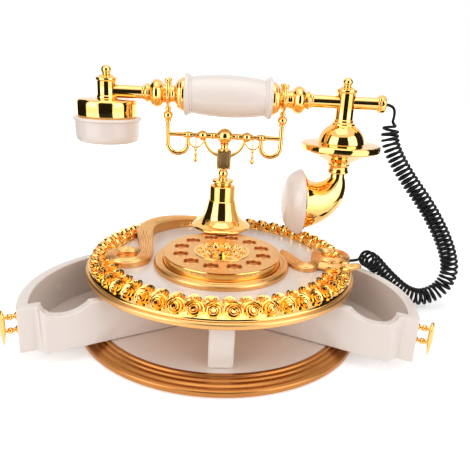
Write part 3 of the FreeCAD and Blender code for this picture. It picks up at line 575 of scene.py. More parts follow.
# One cast rose: lobed rings of petals, each rising to its lip, on a fluted cup
def roseShape(size):
    sectors, rings, valley = size["sectors"], size["rings"], size["valley"]
    points, faces, rows = [Vector((0, 0, size["heart"]))], [], []

    def addRow(radiusAndHeight):
        rows.append(range(len(points), len(points) + sectors))
        for angle in around(sectors):
            radius, height = radiusAndHeight(angle)
            points.append(polar(radius, angle, height))

    def lobe(ring, angle):
        return abs(math.cos(rings[ring][1] * (angle + size["twist"] * ring) / 2))

    def edge(ring, angle):
        if ring < 0:
            return size["bud"]
        return rings[ring][0] * (1 + size["swell"] * lobe(ring, angle) - size["inset"])

    for ring, (_, _, lip, low) in enumerate(rings):
        for share in size["petalSteps"] if ring else size["budSteps"]:
            rise = (lip - low) * (1 - (1 - share) ** 2)

            def onPetal(angle):
                inner = edge(ring - 1, angle)
                radius = inner + (edge(ring, angle) - inner) * share
                return radius, low + rise * (valley + (1 - valley) * lobe(ring, angle) ** 0.6)

            addRow(onPetal)
    for radius, height, flute in size["cup"]:
        addRow(lambda angle: (radius * (1 + flute * math.cos(size["flutes"] * angle)), height))
    foot = len(points)
    points.append(Vector((0, 0, size["foot"])))
    for k in range(sectors):
        n = (k + 1) % sectors
        faces.append([0, rows[0][k], rows[0][n]])
        for low, high in zip(rows, rows[1:]):
            faces.append([low[k], high[k], high[n], low[n]])
        faces.append([rows[-1][k], foot, rows[-1][n]])
    return points, faces


# Copies of a shape set round a circle, tipped outwards and each turned by chance about itself
def ringTree(name):
    tree = bpy.data.node_groups.new(name, "GeometryNodeTree")
    kinds = {"Shape": "NodeSocketObject", "Count": "NodeSocketInt", "Seed": "NodeSocketInt"}
    for socket in ("Radius", "Height", "Tilt", "Scale", "Phase", "Spin"):
        kinds[socket] = "NodeSocketFloat"
    tree.interface.new_socket("Geometry", in_out="OUTPUT", socket_type="NodeSocketGeometry")
    for socket, kind in kinds.items():
        tree.interface.new_socket(socket, in_out="INPUT", socket_type=kind)
    wire = Wire(tree)
    group = tree.nodes.new("NodeGroupInput")
    given = {socket: Wire(tree, group.outputs[socket]) for socket in kinds}

    def vector(x, y, z):
        return wire.node("ShaderNodeCombineXYZ", {"X": x, "Y": y, "Z": z})

    number = wire.node("GeometryNodeInputIndex")
    angle = (number + given["Phase"]) / given["Count"] * fullTurn
    x, y = (wire.maths(way, angle) * given["Radius"] for way in ("COSINE", "SINE"))
    spot = vector(x, y, given["Height"])
    points = wire.node("GeometryNodePoints", {"Count": given["Count"], "Position": spot})
    chance = wire.node(
        "FunctionNodeRandomValue", {2: 0.0, 3: 1.0, "Seed": given["Seed"]}, out=1, data_type="FLOAT"
    )
    turn, spin = (
        wire.node("FunctionNodeEulerToRotation", {0: angles})
        for angles in (vector(0.0, given["Tilt"], angle), vector(0.0, 0.0, chance * given["Spin"]))
    )
    both = wire.node("FunctionNodeRotateRotation", {0: turn, 1: spin}, rotation_space="LOCAL")
    shape = wire.node("GeometryNodeObjectInfo", {"Object": given["Shape"]}, out=4)
    copies = wire.node("GeometryNodeInstanceOnPoints", {
        "Points": points, "Instance": shape, "Rotation": both, "Scale": given["Scale"],
    })
    solid = wire.node("GeometryNodeRealizeInstances", {"Geometry": copies})
    result = tree.nodes.new("NodeGroupOutput")
    tree.links.new(solid.socket, result.inputs[0])
    return tree


ringOf = ringTree("ringOfCopies")


# The tree's result as a plain mesh, in metres
def ringMesh(name, seedItem, row):
    holder = placed(name, bpy.data.meshes.new(name))
    modifier = holder.modifiers.new("ring", "NODES")
    modifier.node_group = ringOf
    values = {**row, "Shape": seedItem, "Tilt": math.radians(row["Tilt"])}
    for size in ("Radius", "Height"):
        values[size] *= mm
    for socket in ringOf.interface.items_tree:
        if socket.in_out == "INPUT":
            modifier[socket.identifier] = values[socket.name]
    return solved(holder)


def seedOf(name, shape, material):
    return placed(name, meshOf(name, shape, material, 50))


# Several meshes as one object, shifted in mm
def gathered(name, meshes, material, shift=(0, 0, 0)):
    work = bmesh.new()
    for mesh in meshes:
        work.from_mesh(mesh)
        bpy.data.meshes.remove(mesh)
    bmesh.ops.translate(work, verts=work.verts, vec=Vector(shift) * mm)
    whole = bpy.data.meshes.new(name)
    work.to_mesh(whole)
    work.free()
    whole.materials.append(material)
    return placed(name, whole)


roseSeed = seedOf("roseSeed", roseShape(roses), gold)
garland = gathered("rose_garland", [ringMesh("roseRow", roseSeed, row) for row in roses["rows"]], gold)
settle(garland, "base", ["rose_band"])
piece("rose_bed", ringOfProfile(roses["bed"], base["sides"]), gold, "base", slot="bright_gold")
print("roses set,", sum(row["Count"] for row in roses["rows"]))


# Scrolls

scrolls = {
    "ridges": 5,
    "perRidge": 6,      # points across one
    "groove": 1.15,
    "dome": 1.1,
    "shoulder": 0.9,
    "flank": 2.2,
    "overhang": 0.05,
    "sway": (0.035, 0.21),      # share of the width, radians a step
    "top": 64.8,
    "eyeTurns": 1.2,
    "eyeSteps": 80,
    "eyeDrop": 0.9,
    "eyeWidth": 0.66,
    "widens": 40,       # steps
    "tapers": 30,
    "left": {
        "eye": (-79, -13), "inner": 12.9, "outer": 14.6, "endAngle": 0, "width": 13.4, "tip": 0.55,
        "run": [
            (-64.4, -13, 0), (-64.6, 0, 0.4), (-66.4, 16, 1.0), (-69.4, 32, 2.0), (-71.4, 47, 3.2),
            (-69.0, 61, 4.2), (-60.5, 73.5, 4.6), (-49, 83, 4.2), (-36.5, 89.5, 3.2), (-24, 93.5, 1.8),
        ],
    },
    "right": {
        "eye": (97, 2), "inner": 11.6, "outer": 13.2, "endAngle": 180, "width": 11.0, "tip": 0.35,
        "run": [
            (83.8, 2, 0), (82.2, -9, -0.2), (77.6, -19, -0.6), (70.4, -23.2, -1.2), (64.6, -17, -1.6),
            (60.8, -6, -1.8), (58.4, 4, -1.8), (54.8, 12.5, -2.0),
        ],
    },
    "floor": 58.2,
    "eyeCup": [(0, 58.2), (10.0, 58.2), (10.0, 60.4, 0.6), (8.2, 59.6, 0.8), (3.0, 58.9, 0.6), (0, 58.9)],
    "tongue": [(82.5, -18.0, -1.4), (94, -22.0, -1.4), (106, -20.6, -1.6), (117.4, -16.6, -2.0)],
    "tongueWidth": 9.6,
    "tongueTip": 0.65,
    "tongueFloor": 59.6,
}


# A band with wavy ridges along it, swept through (x, y, lift) points
def ridgedBand(line, widths, floor):
    ridges, over = scrolls["ridges"], scrolls["overhang"]
    swayBy, swayRate = scrolls["sway"]
    across = scrolls["perRidge"] * ridges
    rings = []
    for n, here in enumerate(line):
        ahead = line[min(n + 1, len(line) - 1)] - line[max(n - 1, 0)]
        side = Vector((-ahead.y, ahead.x)).normalized()
        crest = scrolls["top"] + here.z
        sway = swayBy * math.sin(n * swayRate)

        def spotAt(share, height):
            out = widths[n] * (share - 0.5)
            return here.x + side.x * out, here.y + side.y * out, height

        ring = []
        for k in range(across + 1):
            s = k / across
            wave = abs(math.sin(math.pi * ridges * (s + sway * math.sin(math.pi * s)))) ** 0.6
            dome = scrolls["dome"] * (1 - (2 * s - 1) ** 2)
            ring.append(spotAt(s, crest - scrolls["shoulder"] + dome - scrolls["groove"] * (1 - wave)))
        flank = crest - scrolls["flank"]
        ring += [spotAt(1 + over, flank), spotAt(1 + over, floor), spotAt(-over, floor), spotAt(-over, flank)]
        rings.append(ring)
    return loft(rings)


# A coil from its eye outwards, then the run on from it
def scrollShape(size):
    steps, narrow = scrolls["eyeSteps"], scrolls["eyeWidth"]
    eye = Vector((*size["eye"], 0))
    line = []
    for k in range(steps):
        t = k / steps
        angle = math.radians(size["endAngle"]) - fullTurn * scrolls["eyeTurns"] * (1 - t)
        radius = size["inner"] + (size["outer"] - size["inner"]) * t
        line.append(eye + polar(radius, angle, scrolls["eyeDrop"] * (t - 1)))
    line += flowing(size["run"], 10)
    last = len(line) - 1
    widths = []
    for n in range(last + 1):
        grown = narrow + (1 - narrow) * min(max((n - steps) / scrolls["widens"], 0), 1)
        taper = 1 - (1 - size["tip"]) * max(0, 1 - (last - n) / scrolls["tapers"]) ** 1.6
        widths.append(size["width"] * grown * taper)
    return joined(ridgedBand(line, widths, scrolls["floor"]), turned(eased(scrolls["eyeCup"]), 48, at(*eye)))


def tongueShape():
    line = flowing(scrolls["tongue"], 12)
    last = len(line) - 1
    width, tip = scrolls["tongueWidth"], scrolls["tongueTip"]
    widths = [width * (1 - (1 - tip) * (n / last) ** 6) for n in range(last + 1)]
    return ridgedBand(line, widths, scrolls["tongueFloor"])


piece("left_scroll_band", scrollShape(scrolls["left"]), satin, "base", ["left_scroll"], 55)
rightScroll = joined(scrollShape(scrolls["right"]), tongueShape())
piece("right_scroll_band", rightScroll, satin, "base", ["right_scroll"], 55)
print("scrolls swept")


# Dial

dial = {
    "centre": (0, -15, 0),
    "sides": 128,
    "lip": [
        (45.6, 69.3), (48.2, 69.3, 0.2), (48.72, 68.6, 0.4), (48.72, 58.1), (48.5, 58.1), (48.5, 68.4),
        (45.6, 69),
    ],
    "collar": [
        (49, 58), (56.4, 58, 0.4), (56.4, 61, 1), (54.8, 63, 1), (53, 62.4, 0.4), (51.4, 63.2, 0.8),
        (49, 62.6, 0.4),
    ],
    "rim": [(5.86, -0.8), (6.5, -0.8), (6.7, 0.15, 0.3), (6.2, 0.45, 0.3), (5.86, 0.1, 0.2)],
    "bed": [
        (0, 68.9), (23.6, 68.9), (23.6, 69.9, 0.3), (21.4, 70.2, 0.3), (20.6, 69.8, 0.2), (12, 70.5),
        (0, 70.8),
    ],
    "bead": 0.95,
    "button": [(0, 60.9), (5.3, 60.9), (5.3, 67.0), (4.3, 67.9), (2.4, 68.3), (0, 67.9)],
    "buttonSides": 10,
    "firstButton": 75,      # degrees, the others follow clockwise
    "holes": ringRow(12, 35.0, 69.5, phase=0.5, spin=0.0),
    "beads": ringRow(64, 22.4, 69.9, spin=0.0),
    "petals": ringRow(12, 17.6, 69.7, tilt=16, scale=0.62, phase=0.5, seed=3),
    "posy": ringRow(6, 10.2, 70.3, tilt=14, scale=0.84, seed=5),
    "heart": ringRow(1, 0.0, 70.6, scale=1.05, seed=9),
    "reliefFrom": 69.0,
    "reliefShare": 0.62,
}
dialAt = at(*dial["centre"])
collarRing = moved(ringOfProfile(dial["collar"], dial["sides"]), dialAt)
piece("dial_collar_ring", collarRing, satin, "base", ["dial_collar"])
piece("dial_side", moved(ringOfProfile(dial["lip"], dial["sides"]), dialAt), gold, "base")
rimSeed = seedOf("rimSeed", ringOfProfile(dial["rim"], 32), satin)
rims = gathered("dial_hole_rims", [ringMesh("rims", rimSeed, dial["holes"])], satin, dial["centre"])
settle(rims, "base")
beadSeed = seedOf("beadSeed", ball(dial["bead"], 12), gold)
reliefMeshes = [ringMesh("beads", beadSeed, dial["beads"])]
reliefMeshes += [ringMesh(name, roseSeed, dial[name]) for name in ("petals", "posy", "heart")]
relief = gathered("dial_medallion", reliefMeshes, gold, dial["centre"])
reliefFrom = dial["reliefFrom"] * mm
for vertex in relief.data.vertices:     # low relief: nothing below the face shows
    vertex.co.z = reliefFrom + max(0.0, vertex.co.z - reliefFrom) * dial["reliefShare"]
settle(relief, "base")
piece("dial_medallion_bed", turned(eased(dial["bed"]), 96, dialAt), gold, "base", slot="bright_gold")
buttonCount = dial["holes"]["Count"]
for number in range(buttonCount):
    angle = math.radians(dial["firstButton"] - 360 / buttonCount * number)
    buttonAt = dialAt @ at(*polar(dial["holes"]["Radius"], angle))
    button = turned(dial["button"], dial["buttonSides"], buttonAt)
    node = f"button_{number + 1}"
    piece("amber_" + node, button, amber, node, [node], 12)
for spare in (roseSeed, rimSeed, beadSeed):
    bpy.data.objects.remove(spare)
print("dial set")


# Bell

bell = {
    "post": (0, 52, 0),
    "foot": [
        (11.6, 58), (16, 58, 0.5), (15.6, 60, 0.6), (14, 61.4, 0.8), (13.6, 70.2), (11.6, 70.2),
    ],
    "mouth": [(4.1, 70.4), (26.8, 70.4), (27.5, 71.0)],
    "flare": [
        (27.5, 71.9), (26.2, 73.2), (22.4, 75.4), (18.2, 79.6), (15.6, 85.2), (13.9, 91.4), (12.9, 96.3),
    ],
    "neck": [
        (12.9, 96.3), (12.1, 96.9, 0.3), (12.1, 110.2, 1.2), (9, 111.3, 0.6), (8.2, 112.4, 0.6),
        (8.4, 113.4, 0.4), (10.2, 113.8, 0.6), (10.2, 115.8, 0.6), (8, 116.3, 0.3), (4.1, 116.3),
    ],
}
post = at(*bell["post"])
bellProfile = bell["mouth"] + flowing(bell["flare"]) + eased(bell["neck"])[1:]
piece("bell_body", moved(lathe(bellProfile, 128, True), post), gold, "base", ["bell"], 50)
bellFoot = moved(ringOfProfile(bell["foot"], 96), post)
piece("bell_foot", bellFoot, gold, "base", ["bell_pedestal"])


# Cradle: post, gem, bar, hooks, arcs and drops

cradle = {
    "stem": [
        (0, 67.4), (4, 67.4), (4, 117, 0.4), (3.4, 117.4), (3.4, 125.2, 0.4), (5.6, 125.9, 0.4),
        (5.6, 126.8), (0, 126.8),
    ],
    "stemBall": (4.7, 121.3),
    "crown": [
        (0, 143), (5.2, 143), (5.2, 144.2, 0.5), (3.4, 145, 0.6), (3.2, 147.2), (4.4, 148.2, 0.5),
        (4.4, 149), (0, 149),
    ],
    "gemAt": 135.0,
    "gem": (9.8, 14.0),
    "gemCuts": [    # share, depth
        (0.55, -5.6), (0.80, -4.9), (1, -3.6), (1, 3.6), (0.80, 4.9), (0.55, 5.6),
    ],
    "caseHalf": 4.5,
    "caseSizes": ((6.5, 8.6), (4.9, 7.0)),      # outside, opening
    "barAt": 155.7,
    "barWire": 2,
    "barBall": 7.3,
    "beads": [(11.0, 3.1), (20.0, 4.6), (33.3, 3.2)],       # along the bar, radius
    "cuff": (2.7, 0.9),     # radius, reach past the bead
    "hookX": 51.3,          # the bar's ends
    "hookBend": 9.0,
    "hookWire": 2.2,
    "hookHeights": (151.5, 148.5, 147.7, 160, 169.6),     # down the inner side, the bend, up the outer side
    "collar": [
        (0, 166.8), (2.9, 166.8, 0.3), (2.9, 167.8, 0.4), (2.3, 168.4), (2.3, 176.4), (2.9, 177, 0.4),
        (2.6, 178.2, 0.3), (1.8, 180.6), (0, 181),
    ],
    "collarBall": (4.4, 172),
    "forkWire": 1.7,
    "forkHalf": 10.9,
    "forkHeights": (191.5, 196, 202),       # the arc's centre, the arms, the tips
    "forkTip": 2.4,
    "arcRadius": 18.5,
    "arcWire": 1.5,
    "dropAt": 26.0,
    "swag": [(31.6, 148.6), (29.0, 145.6), (26.0, 144.6), (22.0, 146.2), (18.6, 150.2)],
    "swagWire": 0.75,
    "drop": [
        (0, 131), (1.2, 131.2, 0.4), (2.4, 133.4, 1.4), (1.3, 135.6, 0.5), (0.8, 136.2, 0.3), (2, 138, 1),
        (0.9, 140, 0.4), (0.8, 141.2, 0.2), (1.9, 142.8, 0.9), (1, 144.6, 0.5), (0, 145.4),
    ],
    "link": (0.7, 145),
}
barAt, hookX, bend = cradle["barAt"], cradle["hookX"], cradle["hookBend"]


def postShape(size):
    stemRadius, stemHeight = size["stemBall"]
    wire = size["barWire"]
    parts = [
        lathe(eased(size["stem"]), 48),
        ball(stemRadius, 40, at(0, 0, stemHeight)),
        lathe(eased(size["crown"]), 48),
        ball(size["barBall"], 56, at(0, 0, barAt)),
        turned([(0, -hookX), (wire, -hookX), (wire, hookX), (0, hookX)], 32, at(0, 0, barAt, alongX)),
    ]
    cuff, past = size["cuff"]
    for x, radius in size["beads"]:
        end = radius + past
        cuffProfile = eased([(0, -end), (cuff, -end, 0.3), (cuff, end, 0.3), (0, end)])
        for side in (-1, 1):
            parts.append(ball(radius, 36, at(side * x, 0, barAt)))
            parts.append(turned(cuffProfile, 32, at(side * x, 0, barAt, alongX)))
    return joined(*parts)


# A frame with a square opening, from its two outlines at the front and at the back
def caseShape(size):
    points, faces = [], []
    for y in (-size["caseHalf"], size["caseHalf"]):
        for x, z in size["caseSizes"]:
            points += [Vector((sx * x, y, size["gemAt"] + sz * z)) for sx, sz in corners]
    rows = [range(n, n + 4) for n in (0, 4, 8, 12)]
    for first, second in ((0, 1), (1, 3), (3, 2), (2, 0)):
        faces += between(rows[first], rows[second])
    return points, faces


def gemShape(size):
    wide, tall = size["gem"]
    rings = []
    for share, y in size["gemCuts"]:
        halfTall = tall / 2 - wide * (1 - share) / 2
        rings.append([(sx * wide * share / 2, y, size["gemAt"] + sz * halfTall) for sx, sz in corners])
    return loft(rings)


# A wire that leaves the bar, bends under it and rises to a collar with a fork on it
def hookShape(size, side):
    x, inner = side * hookX, side * (hookX - 2 * bend)
    innerHeight, innerLow, bendHeight, outerLow, outerHeight = size["hookHeights"]
    rod = flowing([(inner, 0, barAt - 1), (inner, 0, innerHeight)], 4)[:-1] + [Vector((inner, 0, innerLow))]
    start = 90 + 90 * side
    rod += arc((side * (hookX - bend), 0, bendHeight), bend, start, start + 180 * side)
    rod += [Vector((x, 0, outerLow)), Vector((x, 0, outerHeight))]
    half = size["forkHalf"]
    arcHeight, armHeight, tipHeight = size["forkHeights"]
    fork = [(x, -half, tipHeight), (x, -half, armHeight)]
    fork += arc((x, 0, arcHeight), half, 180, 360, "yz")
    fork += [(x, half, armHeight), (x, half, tipHeight)]
    ballRadius, ballHeight = size["collarBall"]
    tips = [ball(size["forkTip"], 28, at(x, y, tipHeight)) for y in (-half, half)]
    return joined(
        tube(rod, size["hookWire"], 20), tube(fork, size["forkWire"], 20),
        turned(eased(size["collar"]), 32, at(x, 0, 0)), ball(ballRadius, 36, at(x, 0, ballHeight)), *tips,
    )


# A turned drop on a link, with a swag of wire behind it
def dropShape(size, side):
    x = side * size["dropAt"]
    linkWire, linkFrom = size["link"]
    swag = flowing([(side * along, 0, height) for along, height in size["swag"]])
    return joined(
        tube(swag, size["swagWire"], 12), turned(eased(size["drop"], 6), 24, at(x, 0, 0)),
        tube([(x, 0, linkFrom), (x, 0, barAt - 1)], linkWire, 12),
    )


def yokePiece(name, shape, stands=(), material=gold, **more):
    piece(name, moved(shape, post), material, "yoke", stands, **more)


yokePiece("cradle_post", postShape(cradle), ["yoke_frame"])
yokePiece("gem_case", caseShape(cradle), soften=0.5)
yokePiece("smoky_gem", gemShape(cradle), ["gem"], smoke, sharp=5)
for side, name in ((-1, "left"), (1, "right")):
    yokePiece(name + "_cradle_hook", hookShape(cradle, side), [name + "_hook"])
    quarter = arc((0, 0, barAt), cradle["arcRadius"], 270 + side * 90, 270 + side * 18)
    yokePiece(name + "_cradle_arc", tube(quarter, cradle["arcWire"], 20), [name + "_arc"])
    yokePiece(name + "_drop", dropShape(cradle, side), [name + "_pendant"])
print("cradle set")


# Handset

handset = {
    "axis": (52, 190.6),
    "gripFrom": -37.2,
    "gripTo": 40.2,
    "earX": -105.0,
    "mouthX": 107.0,
}
axisY, axisZ = handset["axis"]


def onAxisAt(x, turn=alongX):
    return at(x, axisY, axisZ, turn)


def handsetPiece(name, shape, material, node):
    piece(name, shape, material, "handset", [node], 50)


grip = {    # up to the middle, which the far end mirrors
    "cap": [
        (0, 0), (16.2, 0), (18.2, 0.4, 0.8), (18.2, 3.4, 0.9), (16.3, 4.6, 0.5), (16.8, 5.6, 0.5),
        (15.4, 6.6),
    ],
    "belly": [(15.4, 6.6), (16.6, 14), (17.7, 25)],
    "middle": 18.2,
}


def gripProfile(size):
    length = handset["gripTo"] - handset["gripFrom"]
    belly = flowing(size["belly"] + [(size["middle"], length / 2)] + mirrored(size["belly"], length))
    return eased(size["cap"]) + belly[1:-1] + eased(mirrored(size["cap"], length))


gripShape = turned(gripProfile(grip), 96, onAxisAt(handset["gripFrom"]))
handsetPiece("ivory_grip", gripShape, ivory, "grip")

arms = {
    "root": [
        (0, 0), (14.6, 0, 0.5), (14.6, 2.4, 0.9), (13.2, 3.4, 0.4), (12.4, 5.6, 1.4), (9.4, 7.4, 0.7),
        (7.6, 8, 0.5), (7, 10, 1), (7.9, 12, 0.8), (7, 14, 1), (7.8, 16.4, 0.6), (8, 17.4, 0.4),
        (8.4, 18.4),
    ],
    "bulb": [(8.4, 18.4), (10.6, 20.4), (12.0, 23.4), (11.6, 26.2), (9.4, 28.8)],
    "end": [
        (9.4, 28.8), (8, 29.8, 0.4), (7, 30.6, 0.4), (8.2, 31.8, 0.6), (8, 33.4, 0.6), (6.4, 34.4, 0.4),
        (6.4, 36, 0.4), (5.6, 36.6, 0.3),
    ],
    "rod": 5.6,
    "leftReach": 62.0,
    "rightReach": 61.0,
    "tail": [
        (0, 4), (5.6, 4), (5.6, 28.4, 0.3), (6.6, 29, 0.4), (6.6, 30, 0.3), (8, 30.6, 0.6), (8, 34.6, 0.9),
        (6, 36, 0.8), (3, 36, 0.4), (2.4, 35), (0, 35),
    ],
}


def armProfile(size, reach):
    end = size["end"] + [(size["rod"], reach), (0, reach)]
    return eased(size["root"]) + flowing(size["bulb"], 6)[1:] + eased(end)[1:]


leftArm = turned(armProfile(arms, arms["leftReach"]), 72, onAxisAt(handset["gripFrom"], againstX))
handsetPiece("left_gold_arm", leftArm, gold, "left_arm")
rightArm = turned(armProfile(arms, arms["rightReach"]), 72, onAxisAt(handset["gripTo"]))
handsetPiece("right_gold_arm", rightArm, gold, "right_arm")
handsetPiece("gold_tail", turned(eased(arms["tail"]), 64, onAxisAt(handset["mouthX"])), gold, "right_end")

ends = {
    "sides": 112,
    "stubFoot": [(8.9, 0, 0.4), (8.9, 1.6, 0.5), (8.2, 2.4, 0.4)],
    "stubHead": [
        (8.2, 199, 0.4), (9.2, 199.5, 0.4), (9.4, 201, 0.6), (9.4, 201.6, 0.5), (7.4, 202.4, 0.4),
        (5.2, 203.8, 0.8), (3.4, 204.6, 0.5),
    ],
    "finial": (4.35, 3.9, 208.2),       # radius across, radius upwards, height of its middle
    "earStub": 184.6,
    "earCap": [
        (0, 168.4), (25, 168.4), (25.2, 169, 0.4), (26, 169.6, 0.4), (26, 181.4, 1.4), (24.6, 183.6, 1),
        (10.4, 184.2, 0.5),
    ],
    "earCup": [
        (19.9, 150), (19.9, 147.6, 0.4), (22.6, 146.6, 0.9), (26.4, 147.6, 2.2), (28, 152.2, 3),
        (28.4, 165.4, 0.5), (30, 166.2, 0.6), (30, 167.6, 0.7), (28.4, 168.4, 0.4), (19.9, 168.4),
    ],
    "mouthStub": 173.4,
    "mouthDisc": [
        (0, 127), (9.4, 127), (9.8, 127.6, 0.4), (9.8, 129.4, 0.4), (9, 130.2, 0.4), (9.2, 133.4, 0.6),
        (10.6, 134.6, 0.5), (10.6, 136, 0.5), (13, 138, 1.2), (30, 146, 2.2), (34.6, 147.6, 0.8),
        (35.2, 148.2, 0.4), (36, 148.8, 0.5), (36, 153.2, 0.8), (34.6, 154.2, 0.5), (24, 154.6, 1),
        (21.4, 155.2),
    ],
    "mouthDome": [(21.4, 155.2), (20.6, 158.8), (18.8, 163.2), (15.8, 167.2), (11.9, 170.3)],
    "mouthNeck": [(11.9, 170.3), (10.8, 171.2, 0.4), (10.8, 172.4, 0.4)],
}


# A stub from a height up
def stubProfile(size, low):
    return [(radius, low + height, ease) for radius, height, ease in size["stubFoot"]] + size["stubHead"]


# The ball on top of a stub, from its neck up
def finialProfile(size):
    across, rise, middle = size["finial"]
    angles = [math.radians(a) for a in range(52, 181, 8)]
    return [(across * math.sin(a), middle - rise * math.cos(a)) for a in angles]


earAt, mouthAt = (at(handset[name], axisY, 0) for name in ("earX", "mouthX"))
earCap = eased(ends["earCap"] + stubProfile(ends, ends["earStub"])) + finialProfile(ends)
handsetPiece("ear_gold_cap", turned(earCap, ends["sides"], earAt), gold, "ear_cap")
handsetPiece("ear_ivory_cup", moved(ringOfProfile(ends["earCup"], ends["sides"]), earAt), ivory, "ear_cup")
mouthTop = eased(ends["mouthNeck"] + stubProfile(ends, ends["mouthStub"])) + finialProfile(ends)
mouthStem = eased(ends["mouthDisc"]) + flowing(ends["mouthDome"])[1:] + mouthTop[1:]
handsetPiece("mouth_gold_stem", turned(mouthStem, ends["sides"], mouthAt), gold, "mouth_stem")

horn = {
    "top": 127.2,
    "bend": 123.0,
    "mouthZ": 97.3,
    "mouthBack": 75.0,
    "inset": 3.0,
    "neck": 6.8,
    "flare": 24.6,
    "lip": [(77.6, 24.8), (77.2, 26.6), (76.4, 27.0), (75.2, 26.8)],    # x, radius
    "bowlAt": 56.5,
    "bowl": [
        (0, 0.2), (8, 0.6), (15, 1.6, 2), (21, 3.6, 2), (26, 7.2, 2.4), (29.4, 11.8, 2), (30.9, 15.4, 1.2),
        (31, 17.4, 0.6), (30.2, 18.4, 0.4), (0, 18.4),
    ],
}


# Elbow horn: rings that turn from straight down to facing the mouthpiece
def hornRings(size, steps=36, sides=72):
    reach = handset["mouthX"] - size["mouthBack"] - size["inset"]
    fall = size["bend"] - size["mouthZ"]

    def ring(x, z, lean, radius):
        out = Vector((math.cos(lean), 0, math.sin(lean)))
        across = Vector((0, 1, 0))
        middle = Vector((x, axisY, z))
        return [middle + (out * math.cos(a) + across * math.sin(a)) * radius for a in around(sides)]

    rings = [ring(handset["mouthX"], size["top"], 0, size["neck"])]
    for n in range(steps + 1):
        share = n / steps
        turn = math.pi / 2 * share
        x = size["mouthBack"] + size["inset"] + reach * math.cos(turn)
        z = size["mouthZ"] + fall * (1 - math.sin(turn))
        slope = math.atan2(fall * math.cos(turn), reach * math.sin(turn))
        radius = size["neck"] + (size["flare"] - size["neck"]) * share ** 0.9
        rings.append(ring(x, z, slope - math.pi / 2, radius))
    return rings + [ring(x, size["mouthZ"], -math.pi / 2, radius) for x, radius in size["lip"]]


handsetPiece("gold_horn", loft(hornRings(horn)), gold, "mouth_horn")
mouthBowl = turned(eased(horn["bowl"]), ends["sides"], at(horn["bowlAt"], axisY, horn["mouthZ"], alongX))
handsetPiece("mouth_ivory_bowl", mouthBowl, ivory, "mouthpiece")
print("handset turned")


# Drawers: each solid's own shape with its edges rounded, away from the pivot's bore and from narrow corners

drawers = {
    "pivot": (66, 18),
    "swing": 62,
    "soften": 0.9,
    "clear": 8.0,
    "flat": 0.6,        # degrees, as are the next two
    "edge": 35,
    "narrow": 105,
}


def roundedTray(name, sign):
    pivot = Vector((sign * drawers["pivot"][0], drawers["pivot"][1])) * mm
    flat, edgeFrom, narrowFrom = (math.radians(drawers[key]) for key in ("flat", "edge", "narrow"))
    work = bmesh.new()
    work.from_mesh(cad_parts[name].data)
    bmesh.ops.remove_doubles(work, verts=work.verts, dist=1e-6)
    bmesh.ops.dissolve_limit(work, angle_limit=flat, verts=work.verts[:], edges=work.edges[:])
    narrow = {v for edge in work.edges if edge.calc_face_angle(0) > narrowFrom for v in edge.verts}
    edges = [edge for edge in work.edges if edge.calc_face_angle(0) > edgeFrom
             and not narrow.intersection(edge.verts)
             and all((v.co.xy - pivot).length > drawers["clear"] * mm for v in edge.verts)]
    rounded(work, edges, drawers["soften"], 4)
    mesh = bpy.data.meshes.new(name + "_tray")
    work.to_mesh(mesh)
    work.free()
    settle(placed(name + "_tray", dressed(mesh, ivory, 40)), name, [name])


roundedTray("left_drawer", -1)
roundedTray("right_drawer", 1)


# Drawer pulls

pulls = {
    "height": 29.0,
    "width": 11.0,
    "thick": 4.2,
    "rows": 40,
    "sides": 24,
    "posts": (-2.6, 8.4),   # heights above the leaf's middle
    "post": [
        (0, 0.4), (1.5, 0.4), (1.5, 3.4, 0.4), (2.5, 4.4, 0.7), (2.5, 6, 0.7), (1.7, 6.8, 0.4),
        (1.7, 8.6, 0.4), (3, 9.4, 0.5), (3.2, 12.4), (0, 12.4),
    ],
    "place": (19.8, -110.4, 29.1),
}


# A teardrop leaf, round at the top and pointed below, on two knobbed posts
def pullShape(size):
    rings = []
    for n in range(size["rows"] + 1):
        t = n / size["rows"]
        half = size["width"] / 2 * max(0.03, t ** 1.05 * (1 - t) ** 0.42 / 0.43)
        thick = size["thick"] / 2 * max(0.10, min(1, 2.2 * t) ** 0.8 * (1 - t ** 9) ** 0.5)
        ring = []
        for angle in around(size["sides"]):
            across, out = math.cos(angle), math.sin(angle)
            crown = 1.0 if out > 0 else 0.72 + 0.28 * (1 - abs(across))
            depth = thick * math.copysign(abs(out) ** 0.7, out) * crown
            ring.append((half * across, depth, size["height"] * (t - 0.5)))
        rings.append(ring)
    posts = [turned(eased(size["post"]), size["sides"], at(0, 0, z, alongY)) for z in size["posts"]]
    return joined(loft(rings), *posts)


for side, sign in (("left", -1), ("right", 1)):
    pivot = at(sign * drawers["pivot"][0], drawers["pivot"][1], 0)
    swung = pivot @ Matrix.Rotation(math.radians(sign * drawers["swing"]), 4, "Z") @ pivot.inverted()
    x, y, z = pulls["place"]
    pull = moved(pullShape(pulls), swung @ at(sign * x, y, z))
    piece(side + "_leaf_pull", pull, gold, side + "_drawer", [side + "_pull"], 50, slot="bright_gold")
print("pulls set")


# Carried-over solids take their finishes

carried = {
    ivory: ["floor_plate", "rear_housing", "inner_disc"],
    satin: ["dial_plate"],
    rubber: ["foot_pad_1", "foot_pad_2", "foot_pad_3", "foot_pad_4"],
    darkPlastic: ["line_jack", "hook_switch", "receiver", "transmitter", "ringer", "cord_socket"],
    steel: ["left_pivot_pin", "right_pivot_pin"],
    boardGreen: ["keypad_board"],
}
for material, names in carried.items():
    for name in names:
        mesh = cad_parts[name].data
        mesh.materials.clear()
        mesh.materials.append(material)


# Studio

